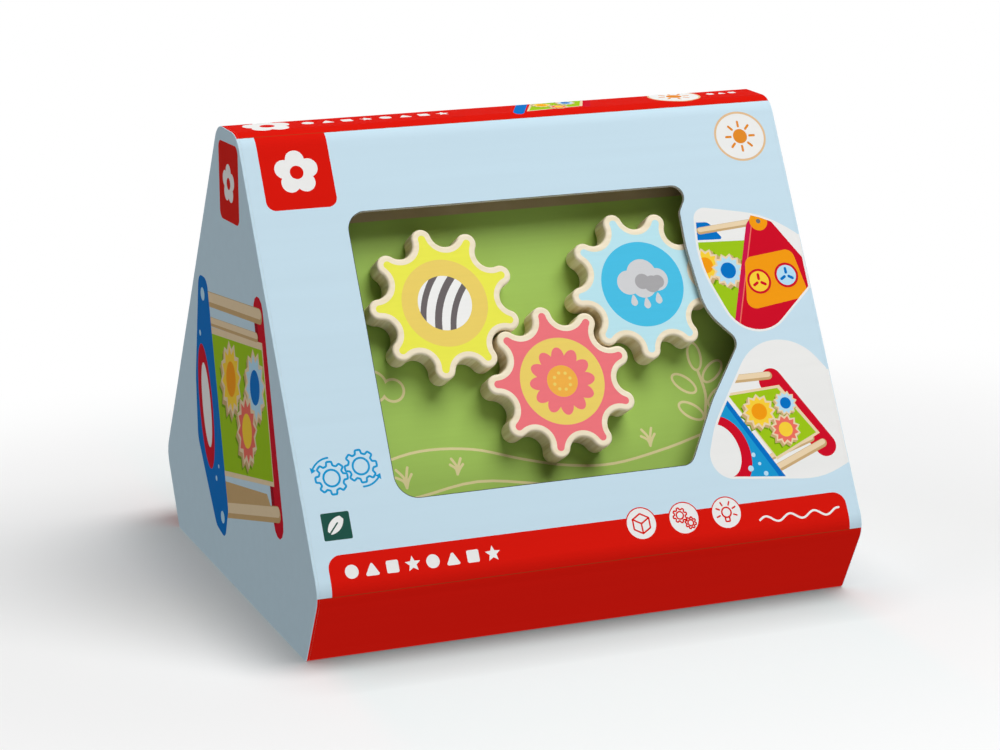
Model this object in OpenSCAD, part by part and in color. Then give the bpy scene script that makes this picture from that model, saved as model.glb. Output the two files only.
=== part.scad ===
// Wooden activity triangle in its windowed display carton.
// X runs along the ridge, -Y is the window side, Z is up, and the origin is on the
// floor under the middle of the carton. All sizes are in millimetres and degrees.

/* [Carton] */
// Length of the carton along its ridge
carton_l = 300; // [280:1:340]
// Height of the carton
carton_h = 248; // [240:1:262]
// Height of the widest crease above the floor
crease_h = 40; // [34:1:46]
// Front-to-back depth at the widest crease
crease_depth = 272; // [264:1:284]
// Front-to-back depth of the base
base_depth = 230; // [222:1:236]
// Front-to-back width of the top panel
top_width = 34; // [30:1:40]
// Thickness of the corrugated board
board_t = 1.6; // [1.2:0.1:2.4]
// Outer radius of the folds at the top and at the creases
fold_r = 14; // [10:0.5:18]
// Outer radius of the folds at the base
base_fold_r = 3.2; // [3:0.1:5]
// Clearance between the sleeve and the tray that slides in it
tray_gap = 0.4; // [0.3:0.1:0.6]
// Front-to-back width of each pad that the toy stands on
riser_w = 36; // [24:1:50]

/* [Window] */
// Lower left corner: distance left of the middle, height up the slope, corner radius
window_low_left = [100, 44, 12]; // [0:0.5:240]
// Upper left corner: distance left of the middle, height up the slope, corner radius
window_high_left = [100, 194, 10]; // [0:0.5:240]
// Lower right corner: distance right of the middle, height up the slope, corner radius
window_low_right = [60.5, 44, 8]; // [0:0.5:240]
// Swell of the lower lobe: distance right, height up the slope, bend radius
window_low_lobe = [79, 76, 60]; // [0:0.5:240]
// Bump between the lobes: distance right, height up the slope, bend radius
window_bump = [101.5, 106.5, 6.5]; // [0:0.5:240]
// Swell of the upper lobe: distance right, height up the slope, bend radius
window_high_lobe = [86, 124, 30]; // [0:0.5:240]
// Neck above the upper lobe: distance right, height up the slope, bend radius
window_neck = [82.5, 160, 60]; // [0:0.5:240]
// Hook under the upper right corner: distance right, height up the slope, bend radius
window_hook = [83, 179.5, 5]; // [0:0.5:240]
// Upper right corner: distance right of the middle, height up the slope, corner radius
window_high_right = [92, 194, 6]; // [0:0.5:240]

/* [Toy frame] */
// Corner radius of the triangular ends
corner_r = 22; // [18:1:26]
// Gap between the top of the ends and the carton's top panel
top_gap = 1; // [0.6:0.1:3]
// Gap between the lower corners of the ends and the carton's skirts
corner_gap = 0.8; // [0.6:0.1:2]
// Gap between the outermost fittings on the ends and the tray
end_gap = 1; // [0.6:0.1:3]
// Thickness of the triangular ends
end_t = 10; // [9:0.5:14]
// Thickness of the two sloping panels
panel_t = 7; // [5:0.5:9]
// Height of the sloping panels' lower edge, measured up the slope from the crease
panel_low = 38; // [30:1:44]
// Gap for the fingers between the handle and the gear panel's upper edge
finger_gap = 15.7; // [10:0.1:25]
// Gap between the upper rail and the back panel's upper edge
back_panel_gap = 12.5; // [4:0.5:40]
// Thickness of the floor board
floor_t = 6; // [4:0.5:9]
// Depth of the grooves that hold the panels and the floor board
groove_depth = 4; // [3:0.5:5]
// Clearance on each face of a board in its groove
groove_gap = 0.1; // [0.05:0.05:0.2]
// Diameter of the carrying handle
handle_d = 20; // [16:0.5:24]
// Diameter of the two foot rails
rail_d = 20; // [16:0.5:24]
// Diameter of the upper rail behind the handle
upper_rail_d = 13; // [10:0.5:15]
// Gap between the handle and the upper rail, measured down the back slope
upper_rail_gap = 19.2; // [15:0.2:25]
// Depth of the seats for the handle and the rails in the ends
dowel_seat = 3; // [2:0.5:5]
// Radial clearance of glued and screwed joints
glue_gap = 0.05; // [0.02:0.01:0.1]

/* [Corner fittings] */
// Diameter of the wooden corner buttons
button_d = 40; // [30:0.5:42]
// Thickness of the wooden corner buttons
button_t = 5; // [4:0.2:6]
// Radius of the rounded rim of the corner buttons
button_rim_r = 3; // [1:0.2:3.6]
// Thickness of wood left under the screw heads
button_floor = 2; // [1.4:0.2:2.6]
// Diameter of the screw shanks
screw_d = 4.5; // [3.5:0.1:6]
// Diameter of the screw heads
screw_head_d = 9; // [7:0.5:11]
// Height of the screw heads
screw_head_t = 2.4; // [1.6:0.2:2.6]
// Length of the screw shanks under the head
screw_l = 38; // [26:1:50]

/* [Gears] */
// Number of teeth on each gear
teeth = 9; // [8:1:10]
// Pitch radius, half the distance between meshing gears
pitch_r = 36.3; // [35:0.1:37]
// Height of a tooth above the pitch circle
addendum = 4.3; // [3.8:0.1:4.6]
// Depth of a valley below the pitch circle
dedendum = 5.9; // [5.4:0.1:6.4]
// Radius of the rounded tooth tips
tooth_tip_r = 5.4; // [5:0.1:5.6]
// Thickness of the gears
gear_t = 14; // [12:0.5:15]
// Gap between the gear faces and the inside of the carton
gear_face_gap = 1.6; // [1:0.1:4]
// Sideways distance of the outer gears from the middle
gear_span = 55.2; // [52:0.1:58]
// Height of the middle gear's centre, measured up the slope from the crease
gear_low = 95.8; // [92:0.2:100]
// Turn of the middle gear at rest, from dead centre in mesh
gear_turn = -3.5; // [-10:0.5:10]
// Gap left between meshing teeth on the side where the outer gears lean
tooth_gap = 0.9; // [0.6:0.1:2]
// Gap between pieces that turn against each other
run_gap = 0.3; // [0.2:0.05:0.5]
// Thickness of the washers between gears and panel
washer_t = 1; // [0.6:0.1:2]
// Diameter of the washers between gears and panel
washer_d = 24; // [20:0.5:30]

/* [Axle pegs] */
// Shank diameter of the gear pegs
peg_d = 10; // [8:0.5:12]
// Head diameter of the gear pegs
peg_head_d = 18; // [15:0.5:22]
// Head thickness of the gear pegs
peg_head_t = 4; // [3:0.5:6]
// Depth of the blind hole that holds a peg in its gear
peg_seat = 9; // [6:0.5:10]
// Radial running clearance of the pegs
peg_gap = 0.05; // [0.02:0.01:0.09]

/* [Turning eyes] */
// Diameter of the eye discs
eye_d = 34; // [28:1:40]
// Thickness of the eye discs
eye_t = 7; // [6:0.5:9]
// Radius of the rounded rim of the eye discs
eye_rim_r = 3; // [2:0.5:4]
// Depth of the round recesses that hold the eye discs
eye_recess = 3; // [2:0.5:4]
// Distance between the centres of the two discs
eye_spacing = 52; // [46:1:60]
// Height of the eye discs above the foot of the ends
eye_h = 112; // [100:1:124]
// Shank diameter of the eye pegs
eye_peg_d = 8; // [6:0.5:10]
// Head diameter of the eye pegs
eye_peg_head_d = 14; // [12:0.5:18]
// Head thickness of the eye pegs
eye_peg_head_t = 3; // [2:0.5:4]
// Depth of the blind hole that holds a peg in its disc
eye_peg_seat = 4; // [3:0.5:5]

/* [Mirror] */
// Width of the oval mirror
mirror_w = 64; // [52:1:76]
// Height of the oval mirror
mirror_h = 84; // [72:1:96]
// Thickness of the oval mirror
mirror_t = 2; // [1.5:0.5:3]
// Height of the mirror's centre above the foot of the ends
mirror_rise = 92; // [84:1:100]

/* [Hidden] */
$fn = 64;
fold_steps = 8;
window_steps = 8;
corner_steps = 14;
tip_steps = 10;
valley_steps = 8;
oval_steps = 48;
overcut = 1;

// Plain vector helpers
function unit(v) = v / norm(v);
function turned(v, a) = [v.x * cos(a) - v.y * sin(a), v.x * sin(a) + v.y * cos(a)];
function backwards(list) = [for (i = [len(list) - 1:-1:0]) list[i]];
function flat(c) = [c.x, c.y];

// Points of the round corner at p, between its neighbours a and b. The fold has the outer
// radius r, and inset draws the same fold deeper in the board.
function bend(p, a, b, r, steps, inset = 0) =
    let (into = unit(p - a), out = unit(b - p),
         turn = atan2(into.x * out.y - into.y * out.x, into * out),
         start = p - into * r * tan(abs(turn) / 2),
         centre = start + sign(turn) * r * [-into.y, into.x],
         spoke = (start - centre) * (r - inset) / r)
    [for (s = [0:steps]) centre + turned(spoke, turn * s / steps)];

// Outline of a closed polygon whose corners are [x, y, radius]
function rounded(corners, steps) =
    let (n = len(corners))
    [for (i = [0:n - 1])
        each bend(flat(corners[i]), flat(corners[(i + n - 1) % n]), flat(corners[(i + 1) % n]),
                  corners[i].z, steps)];

// Carton section: corners as [depth, height], anticlockwise from the front of the base
FRONT_BASE = 0;
BACK_BASE = 1;
BACK_CREASE = 2;
BACK_TOP = 3;
FRONT_TOP = 4;
FRONT_CREASE = 5;
section = [[-base_depth / 2, 0], [base_depth / 2, 0], [crease_depth / 2, crease_h],
           [top_width / 2, carton_h], [-top_width / 2, carton_h], [-crease_depth / 2, crease_h]];
section_r = [base_fold_r, base_fold_r, fold_r, fold_r, fold_r, fold_r];
slope = atan2(carton_h - crease_h, (crease_depth - top_width) / 2);
skirt = unit([-(crease_depth - base_depth) / 2, crease_h]);

// End panels cover the whole section, and the sleeve runs between them
section_outline = rounded([for (i = [0:len(section) - 1])
                              [section[i].x, section[i].y, section_r[i]]], fold_steps);
sleeve_left = -carton_l / 2 + board_t + tray_gap;
sleeve_right = carton_l / 2 - board_t;

// Tray that slides out to the left
tray_bottom = board_t + tray_gap;
tray_floor = tray_bottom + board_t;
tray_half = base_depth / 2 - base_fold_r - tray_gap;
tray_left = -carton_l / 2 + board_t;
tray_right = sleeve_right - tray_gap;

// Triangular ends: the apex clears the top panel, and the lower corners clear the skirts
toy_apex = carton_h - board_t - top_gap + corner_r * (1 / cos(slope) - 1);
corner_run = corner_r / tan(slope / 2);
toy_foot = (corner_r * (1 + skirt.x) + board_t + corner_gap
            - (base_depth / 2 - toy_apex / tan(slope) + corner_run) * skirt.y)
           / (skirt.y / tan(slope) - skirt.x);
toy_half = (toy_apex - toy_foot) / tan(slope);
toy_outline = rounded([[-toy_half, toy_foot, corner_r], [toy_half, toy_foot, corner_r],
                       [0, toy_apex, corner_r]], corner_steps);
riser_t = toy_foot - tray_floor;
riser_y = (toy_half - corner_run) / 2;

// Lengths along the ridge
eye_proud = eye_t + run_gap - eye_recess;
end_room = max(button_t, eye_proud) + end_gap;
toy_l = carton_l - 2 * (board_t + end_room);
inside_l = toy_l - 2 * end_t;
dowel_l = inside_l + 2 * dowel_seat;
board_l = inside_l + 2 * groove_depth - 2 * groove_gap;

// Gear stack, measured inwards from the outer face of the carton's front
gear_back = board_t + gear_face_gap + gear_t;
panel_front = gear_back + run_gap + washer_t;
panel_back = panel_front + panel_t;
panel_middle = panel_front + panel_t / 2;

// Handle and rails stand at the centres of the rounded corners, as [depth, height]
handle_at = [0, toy_apex - corner_r / cos(slope)];
rail_at = [toy_half - corner_run, toy_foot + corner_r];
dowel_places = [handle_at, rail_at, [-rail_at.x, rail_at.y]];
handle_high = (crease_depth / 2) * cos(slope) + (handle_at.y - crease_h) * sin(slope);
panel_high = handle_high - handle_d / 2 - finger_gap;
upper_rail_high = handle_high - handle_d / 2 - upper_rail_gap - upper_rail_d / 2;
back_panel_high = upper_rail_high - upper_rail_d / 2 - back_panel_gap;
upper_rail_at = [crease_depth / 2 - upper_rail_high * cos(slope) - panel_middle * sin(slope),
                 crease_h + upper_rail_high * sin(slope) - panel_middle * cos(slope)];
lip_top = rail_at.y - button_d / 2 - end_gap;
floor_half = rail_at.x - rail_d / 2 - glue_gap;

// Gear tooth arcs: tip circles and valley circles that touch each other
tooth_angle = 360 / teeth;
half_tooth = tooth_angle / 2;
tip_centre = pitch_r + addendum - tooth_tip_r;
root_r = pitch_r - dedendum;
valley_r = (tip_centre * tip_centre + root_r * root_r - 2 * tip_centre * root_r * cos(half_tooth)
            - tooth_tip_r * tooth_tip_r)
           / (2 * (tooth_tip_r - root_r + tip_centre * cos(half_tooth)));
valley_centre = root_r + valley_r;
tip_sweep = atan2(valley_centre * sin(half_tooth), valley_centre * cos(half_tooth) - tip_centre);
valley_sweep = atan2(tip_centre * sin(half_tooth), tip_centre * cos(half_tooth) - valley_centre);
gear_outline = [for (k = [0:teeth - 1])
    each concat(
        [for (s = [0:tip_steps])
            let (a = -tip_sweep + 2 * tip_sweep * s / tip_steps)
            turned([tip_centre, 0] + tooth_tip_r * [cos(a), sin(a)], k * tooth_angle)],
        [for (s = [1:valley_steps - 1])
            let (a = 360 - valley_sweep - 2 * (180 - valley_sweep) * s / valley_steps)
            turned([valley_centre, 0] + valley_r * [cos(a), sin(a)], (k + 0.5) * tooth_angle)])];

// Gear layout on the slope as [sideways, up the slope], and the turn of each gear at rest
gear_rise = sqrt(4 * pitch_r * pitch_r - gear_span * gear_span);
mesh_angle = atan2(gear_rise, gear_span);
coral_at = [0, gear_low];
yellow_at = [-gear_span, gear_low + gear_rise];
blue_at = [gear_span, gear_low + gear_rise];
gear_lean = max(0, valley_r - tooth_tip_r - tooth_gap) / pitch_r * 180 / PI;
coral_turn = mesh_angle + half_tooth + gear_turn;
coral_lag = (180 - mesh_angle - coral_turn) % tooth_angle;
yellow_turn = -mesh_angle + half_tooth + coral_lag - gear_lean;
blue_turn = 180 + mesh_angle - gear_turn + gear_lean;

// Turning eyes on the red end
eye_places = [[-eye_spacing / 2, toy_foot + eye_h], [eye_spacing / 2, toy_foot + eye_h]];
eye_floor = toy_l / 2 - eye_recess;

// Placing helpers

// Extrudes a [depth, height] outline along the ridge from x0 to x1
module along_ridge(x0, x1) {
    translate([x0, 0, 0]) rotate([90, 0, 90]) linear_extrude(x1 - x0) children();
}

// Local X along the ridge, Y up the front slope from the crease, Z out of the front face
module on_front() {
    translate([0, -crease_depth / 2, crease_h]) rotate([slope, 0, 0]) children();
}

// The same frame on the back slope
module on_back() {
    mirror([0, 1, 0]) on_front() children();
}

// Local Z points along +X, at a [depth, height] place and at x
module facing_right(place, x) {
    translate([x, place.x, place.y]) rotate([0, 90, 0]) children();
}

// Builds a piece of the right end, or its mirror image on the left
module at_end(side) {
    mirror([side < 0 ? 1 : 0, 0, 0]) children();
}

// Carton sleeve

// Strip of folded board between two corners of the section, with or without their folds
module board_strip(from, to, fold_from, fold_to) {
    n = len(section);
    function fold(i, inset) =
        bend(section[i], section[(i + n - 1) % n], section[(i + 1) % n], section_r[i],
             fold_steps, inset);
    function side(inset) =
        let (a = fold(from, inset), b = fold(to, inset))
        concat(fold_from ? a : [a[fold_steps]], fold_to ? b : [b[0]]);
    along_ridge(sleeve_left, sleeve_right)
        polygon(concat(side(0), backwards(side(board_t))));
}

window_outline = rounded([[-window_low_left.x, window_low_left.y, window_low_left.z],
                          window_low_right, window_low_lobe, window_bump, window_high_lobe,
                          window_neck, window_hook, window_high_right,
                          [-window_high_left.x, window_high_left.y, window_high_left.z]],
                         window_steps);

module sleeve_front_panel() {
    color("#c4dcea") difference() {
        board_strip(FRONT_TOP, FRONT_CREASE, false, false);
        on_front() translate([0, 0, -board_t - overcut])
            linear_extrude(board_t + 2 * overcut) polygon(window_outline);
    }
}

module sleeve_top_panel() {
    color("#dc1a10") board_strip(BACK_TOP, FRONT_TOP, true, true);
}

module sleeve_back_panel() {
    color("#c4dcea") board_strip(BACK_CREASE, BACK_TOP, false, false);
}

module sleeve_base_panel() {
    color("#b1130a") board_strip(FRONT_BASE, BACK_BASE, true, true);
}

module sleeve_front_skirt() {
    color("#c8160c") board_strip(FRONT_CREASE, FRONT_BASE, true, false);
}

module sleeve_back_skirt() {
    color("#c8160c") board_strip(BACK_BASE, BACK_CREASE, false, true);
}

module sleeve_right_end() {
    color("#c4dcea") along_ridge(sleeve_right, carton_l / 2) polygon(section_outline);
}

// Sliding tray

module tray_left_end() {
    color("#c4dcea") along_ridge(-carton_l / 2, tray_left) polygon(section_outline);
}

module tray_base() {
    color("#b99b6b") translate([tray_left, -tray_half, tray_bottom])
        cube([tray_right - tray_left, 2 * tray_half, board_t]);
}

module tray_right_lip() {
    color("#b99b6b") translate([tray_right - board_t, -tray_half, tray_floor])
        cube([board_t, 2 * tray_half, lip_top - tray_floor]);
}

module tray_riser(side) {
    color("#b99b6b") translate([-toy_l / 2, side * riser_y - riser_w / 2, tray_floor])
        cube([toy_l, riser_w, riser_t]);
}

// Triangular ends

// Clearance slot for a sloping panel of the given upper edge, in the frame of its slope
module panel_slot(high) {
    translate([inside_l / 2 - overcut, panel_low - groove_gap, -panel_back - groove_gap])
        cube([groove_depth + overcut, high - panel_low + 2 * groove_gap, panel_t + 2 * groove_gap]);
}

// Clearance slot for the floor board
module floor_slot() {
    translate([inside_l / 2 - overcut, -floor_half - groove_gap,
               rail_at.y - floor_t / 2 - groove_gap])
        cube([groove_depth + overcut, 2 * (floor_half + groove_gap), floor_t + 2 * groove_gap]);
}

// Round seat for the end of a dowel
module dowel_seat_hole(place, d) {
    facing_right(place, inside_l / 2 - overcut)
        cylinder(d = d + 2 * glue_gap, h = dowel_seat + overcut);
}

// Right-hand end board with its grooves, dowel seats and screw holes
module end_board() {
    difference() {
        along_ridge(inside_l / 2, toy_l / 2) polygon(toy_outline);
        on_front() panel_slot(panel_high);
        on_back() panel_slot(back_panel_high);
        floor_slot();
        dowel_seat_hole(upper_rail_at, upper_rail_d);
        for (i = [0:len(dowel_places) - 1]) {
            dowel_seat_hole(dowel_places[i], i == 0 ? handle_d : rail_d);
            facing_right(dowel_places[i], inside_l / 2)
                cylinder(d = screw_d + 2 * glue_gap, h = end_t + overcut);
        }
    }
}

// Oval of the mirror as a [depth, height] outline, with an allowance all round
module mirror_oval(allowance) {
    polygon([for (i = [0:oval_steps - 1])
        let (a = 360 * i / oval_steps)
        [(mirror_w / 2 + allowance) * cos(a),
         toy_foot + mirror_rise + (mirror_h / 2 + allowance) * sin(a)]]);
}

module blue_end() {
    color("#1474bc") difference() {
        at_end(-1) end_board();
        along_ridge(-toy_l / 2 - overcut, -toy_l / 2 + mirror_t) mirror_oval(groove_gap);
    }
}

module red_end() {
    color("#c8142c") difference() {
        end_board();
        for (place = eye_places) {
            facing_right(place, eye_floor) cylinder(d = eye_d + 2 * run_gap, h = eye_recess + overcut);
            facing_right(place, inside_l / 2 - overcut)
                cylinder(d = eye_peg_d + 2 * peg_gap, h = end_t + overcut);
        }
    }
}

module mirror_plate() {
    color("#dfe6ea") along_ridge(-toy_l / 2, -toy_l / 2 + mirror_t) mirror_oval(0);
}

// Handle, rails, panels and floor

// Plain dowel between the ends
module plain_dowel(place, d) {
    color("#e6cfa2") facing_right(place, -dowel_l / 2) cylinder(d = d, h = dowel_l);
}

// Dowel bored at both ends for the corner screws
module screwed_dowel(place, d) {
    hole_l = screw_l - button_floor - end_t + dowel_seat + overcut;
    color("#e6cfa2") difference() {
        plain_dowel(place, d);
        for (side = [-1, 1]) at_end(side)
            facing_right(place, dowel_l / 2 - hole_l)
                cylinder(d = screw_d + 2 * glue_gap, h = hole_l + overcut);
    }
}

module slope_panel(high) {
    translate([-board_l / 2, panel_low, -panel_back]) cube([board_l, high - panel_low, panel_t]);
}

module gear_panel() {
    color("#8dbb3f") difference() {
        on_front() slope_panel(panel_high);
        for (at = [yellow_at, coral_at, blue_at])
            on_front() translate([at.x, at.y, -panel_back - overcut])
                cylinder(d = peg_d + 2 * peg_gap, h = panel_t + 2 * overcut);
    }
}

module back_panel() {
    color("#f0c24a") on_back() slope_panel(back_panel_high);
}

module floor_board() {
    color("#e6cfa2") translate([-board_l / 2, -floor_half, rail_at.y - floor_t / 2])
        cube([board_l, 2 * floor_half, floor_t]);
}

// Corner buttons and screws

// Quarter circle of a rounded rim, from the side of a disc of radius r up to its top at z
function rim(r, z, rim_r) =
    [for (s = [0:fold_steps])
        let (a = 90 * s / fold_steps)
        [r - rim_r + rim_r * cos(a), z - rim_r + rim_r * sin(a)]];

// One button on the right-hand end, bored and counterbored for its screw
module corner_button(place) {
    shank_r = screw_d / 2 + glue_gap;
    head_r = screw_head_d / 2 + groove_gap;
    facing_right(place, toy_l / 2) rotate_extrude()
        polygon(concat([[shank_r, 0], [button_d / 2, 0]],
                       rim(button_d / 2, button_t, button_rim_r),
                       [[head_r, button_t], [head_r, button_floor], [shank_r, button_floor]]));
}

module corner_buttons(side, tint) {
    color(tint) for (place = dowel_places) at_end(side) corner_button(place);
}

module corner_screws() {
    color("#5c6066") for (side = [-1, 1], place = dowel_places) at_end(side)
        facing_right(place, toy_l / 2 + button_floor) rotate_extrude()
            polygon([[0, -screw_l], [screw_d / 2, -screw_l + screw_d], [screw_d / 2, 0],
                     [screw_head_d / 2, 0], [screw_head_d / 2, screw_head_t / 2],
                     [screw_head_d / 4, screw_head_t], [0, screw_head_t]]);
}

// Gears, their pegs and washers

// Places a piece at a gear's centre, with local Z = 0 at the back of the gear
module at_gear(at) {
    on_front() translate([at.x, at.y, -gear_back]) children();
}

module gear(at, turn, tint) {
    color(tint) at_gear(at) difference() {
        rotate(turn) linear_extrude(gear_t) polygon(gear_outline);
        translate([0, 0, -overcut]) cylinder(d = peg_d + 2 * glue_gap, h = peg_seat + overcut);
    }
}

// Mushroom peg along Z: its shank ends at z = tip and its head starts at z = head
module peg(tip, head, shank_d, head_d, head_t) {
    rotate_extrude() polygon([[0, tip], [shank_d / 2, tip], [shank_d / 2, head],
                              [head_d / 2, head], [head_d / 2, head - head_t / 2],
                              [head_d / 2 - head_t / 2, head - head_t], [0, head - head_t]]);
}

module gear_peg(at) {
    color("#d9bd8a") at_gear(at)
        peg(peg_seat, -2 * run_gap - washer_t - panel_t, peg_d, peg_head_d, peg_head_t);
}

module gear_washers() {
    color("#f4f1e6") for (at = [yellow_at, coral_at, blue_at])
        at_gear(at) translate([0, 0, -run_gap - washer_t]) difference() {
            cylinder(d = washer_d, h = washer_t);
            translate([0, 0, -overcut])
                cylinder(d = peg_d + 2 * run_gap, h = washer_t + 2 * overcut);
        }
}

// Turning eyes and their pegs

module eye(place) {
    bore_r = eye_peg_d / 2 + glue_gap;
    color("#f3efe6") facing_right(place, eye_floor + run_gap) rotate_extrude()
        polygon(concat([[bore_r, 0], [eye_d / 2, 0]], rim(eye_d / 2, eye_t, eye_rim_r),
                       [[0, eye_t], [0, eye_peg_seat], [bore_r, eye_peg_seat]]));
}

module eye_peg(place) {
    color("#d9bd8a") facing_right(place, eye_floor + run_gap)
        peg(eye_peg_seat, eye_recess - end_t - 2 * run_gap, eye_peg_d, eye_peg_head_d,
            eye_peg_head_t);
}

sleeve_front_panel();
sleeve_top_panel();
sleeve_back_panel();
sleeve_base_panel();
sleeve_front_skirt();
sleeve_back_skirt();
sleeve_right_end();
tray_left_end();
tray_base();
tray_right_lip();
tray_riser(-1);  // tray_front_riser
tray_riser(1);  // tray_back_riser
blue_end();
red_end();
screwed_dowel(handle_at, handle_d);  // carry_handle
screwed_dowel([-rail_at.x, rail_at.y], rail_d);  // front_rail
screwed_dowel(rail_at, rail_d);  // back_rail
plain_dowel(upper_rail_at, upper_rail_d);  // upper_rail
gear_panel();
back_panel();
floor_board();
mirror_plate();  // mirror
corner_buttons(-1, "#7fc8ee");  // blue_corner_buttons
corner_buttons(1, "#f0a01e");  // red_corner_buttons
corner_screws();
gear(yellow_at, yellow_turn, "#ecea4c");  // yellow_gear
gear(coral_at, coral_turn, "#ec757d");  // coral_gear
gear(blue_at, blue_turn, "#b8e2ec");  // blue_gear
gear_peg(yellow_at);  // yellow_gear_peg
gear_peg(coral_at);  // coral_gear_peg
gear_peg(blue_at);  // blue_gear_peg
gear_washers();
eye(eye_places[0]);  // front_eye
eye(eye_places[1]);  // back_eye
eye_peg(eye_places[0]);  // front_eye_peg
eye_peg(eye_places[1]);  // back_eye_peg
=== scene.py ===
"""Looks of a wooden activity triangle standing in its windowed display carton.

Lengths are millimetres until a mesh is made. X runs along the ridge, -Y is the window side
and Z is up, as in the part's source. Prints are cut into the faces that carry them, so each
one lies flush in its board and goes round the folds with it.
"""
import logging
import math
from dataclasses import dataclass, field
from enum import Enum
from functools import partial
from typing import Callable, Sequence

import bpy
from mathutils import Matrix, Vector
from mathutils.geometry import delaunay_2d_cdt


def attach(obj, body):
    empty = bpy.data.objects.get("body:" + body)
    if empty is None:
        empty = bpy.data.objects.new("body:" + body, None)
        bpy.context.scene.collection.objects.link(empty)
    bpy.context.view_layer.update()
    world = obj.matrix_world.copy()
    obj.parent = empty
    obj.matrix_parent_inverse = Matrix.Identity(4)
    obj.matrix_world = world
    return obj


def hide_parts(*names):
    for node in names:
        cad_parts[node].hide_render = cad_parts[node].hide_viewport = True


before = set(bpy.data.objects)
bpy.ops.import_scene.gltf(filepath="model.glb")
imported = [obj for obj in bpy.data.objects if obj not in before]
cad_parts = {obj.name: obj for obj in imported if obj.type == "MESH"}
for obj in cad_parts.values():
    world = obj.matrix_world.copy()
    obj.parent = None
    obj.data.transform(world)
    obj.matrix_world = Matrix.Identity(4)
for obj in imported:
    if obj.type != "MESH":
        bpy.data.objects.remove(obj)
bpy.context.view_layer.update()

log = logging.getLogger("activity_triangle")

Tree = bpy.types.NodeTree
Node = bpy.types.Node
Socket = bpy.types.NodeSocket
Colour = tuple[float, float, float, float]
Point = tuple[float, float]
Outline = list[Point]
Corner = tuple[float, float, float]

MM = 0.001
PER_METRE = 1000.0
# Slack all round a dowel, screw or board in its seat, and the radius of a knife-cut rim.
FIT = 0.05
SHARP = 0.05
# Mesh layer with millimetres along and through a cut edge.
EDGE_LAYER = "edge_mm"
# Rise of the sloping faces in degrees.
SLOPE = math.degrees(math.atan2(208.0, 119.0))


class Body(str, Enum):
    """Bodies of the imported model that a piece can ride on."""

    SLEEVE = "sleeve"
    TOY = "toy"
    CORAL_GEAR = "coral_gear_body"
    YELLOW_GEAR = "yellow_gear_body"
    BLUE_GEAR = "blue_gear_body"
    FRONT_EYE = "front_eye_body"
    BACK_EYE = "back_eye_body"


class Slot(str, Enum):
    """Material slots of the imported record."""

    BOARD_BLUE = "printed_board_blue"
    BOARD_RED = "printed_board_red"
    KRAFT = "kraft_board"
    BEECH = "beech_natural"
    PLYWOOD = "plywood_natural"
    WOOD_BLUE = "wood_blue"
    WOOD_RED = "wood_red"
    WOOD_GREEN = "wood_green"
    WOOD_SUN = "wood_sun"
    WOOD_YELLOW = "wood_yellow"
    WOOD_CORAL = "wood_coral"
    WOOD_PALE_BLUE = "wood_pale_blue"
    WOOD_LIGHT_BLUE = "wood_light_blue"
    WOOD_ORANGE = "wood_orange"
    WOOD_WHITE = "wood_white"
    MIRROR = "mirror_plate"
    STEEL = "dark_steel"
    NYLON = "nylon"


# Finishes


def linear(hex_colour: str, gain: float = 1.0) -> Colour:
    """Turns an sRGB hex colour into linear light.

    Args:
        hex_colour: colour as "#rrggbb".
        gain: how many times lighter the result is.

    Returns:
        Linear red, green, blue and an alpha of 1.
    """
    levels = [int(hex_colour[i : i + 2], 16) / 255 for i in (1, 3, 5)]
    light = [c / 12.92 if c <= 0.04045 else ((c + 0.055) / 1.055) ** 2.4 for c in levels]
    red, green, blue = (min(c * gain, 1.0) for c in light)
    return (red, green, blue, 1.0)


def add_node(tree: Tree, kind: str, inputs: dict | None = None, **settings: object) -> Node:
    """Adds one shader node with its settings and links.

    Args:
        tree: node tree that gets the node.
        kind: Blender's name for the type of node.
        inputs: values, sockets or nodes for its inputs, by name or number. A node gives its
            first output.
        settings: properties of the node.

    Returns:
        The new node.
    """
    node = tree.nodes.new(kind)
    for name, value in settings.items():
        setattr(node, name, value)
    for key, value in (inputs or {}).items():
        source = value.outputs[0] if isinstance(value, Node) else value
        if isinstance(source, Socket):
            tree.links.new(source, node.inputs[key])
        else:
            node.inputs[key].default_value = source
    return node


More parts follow.
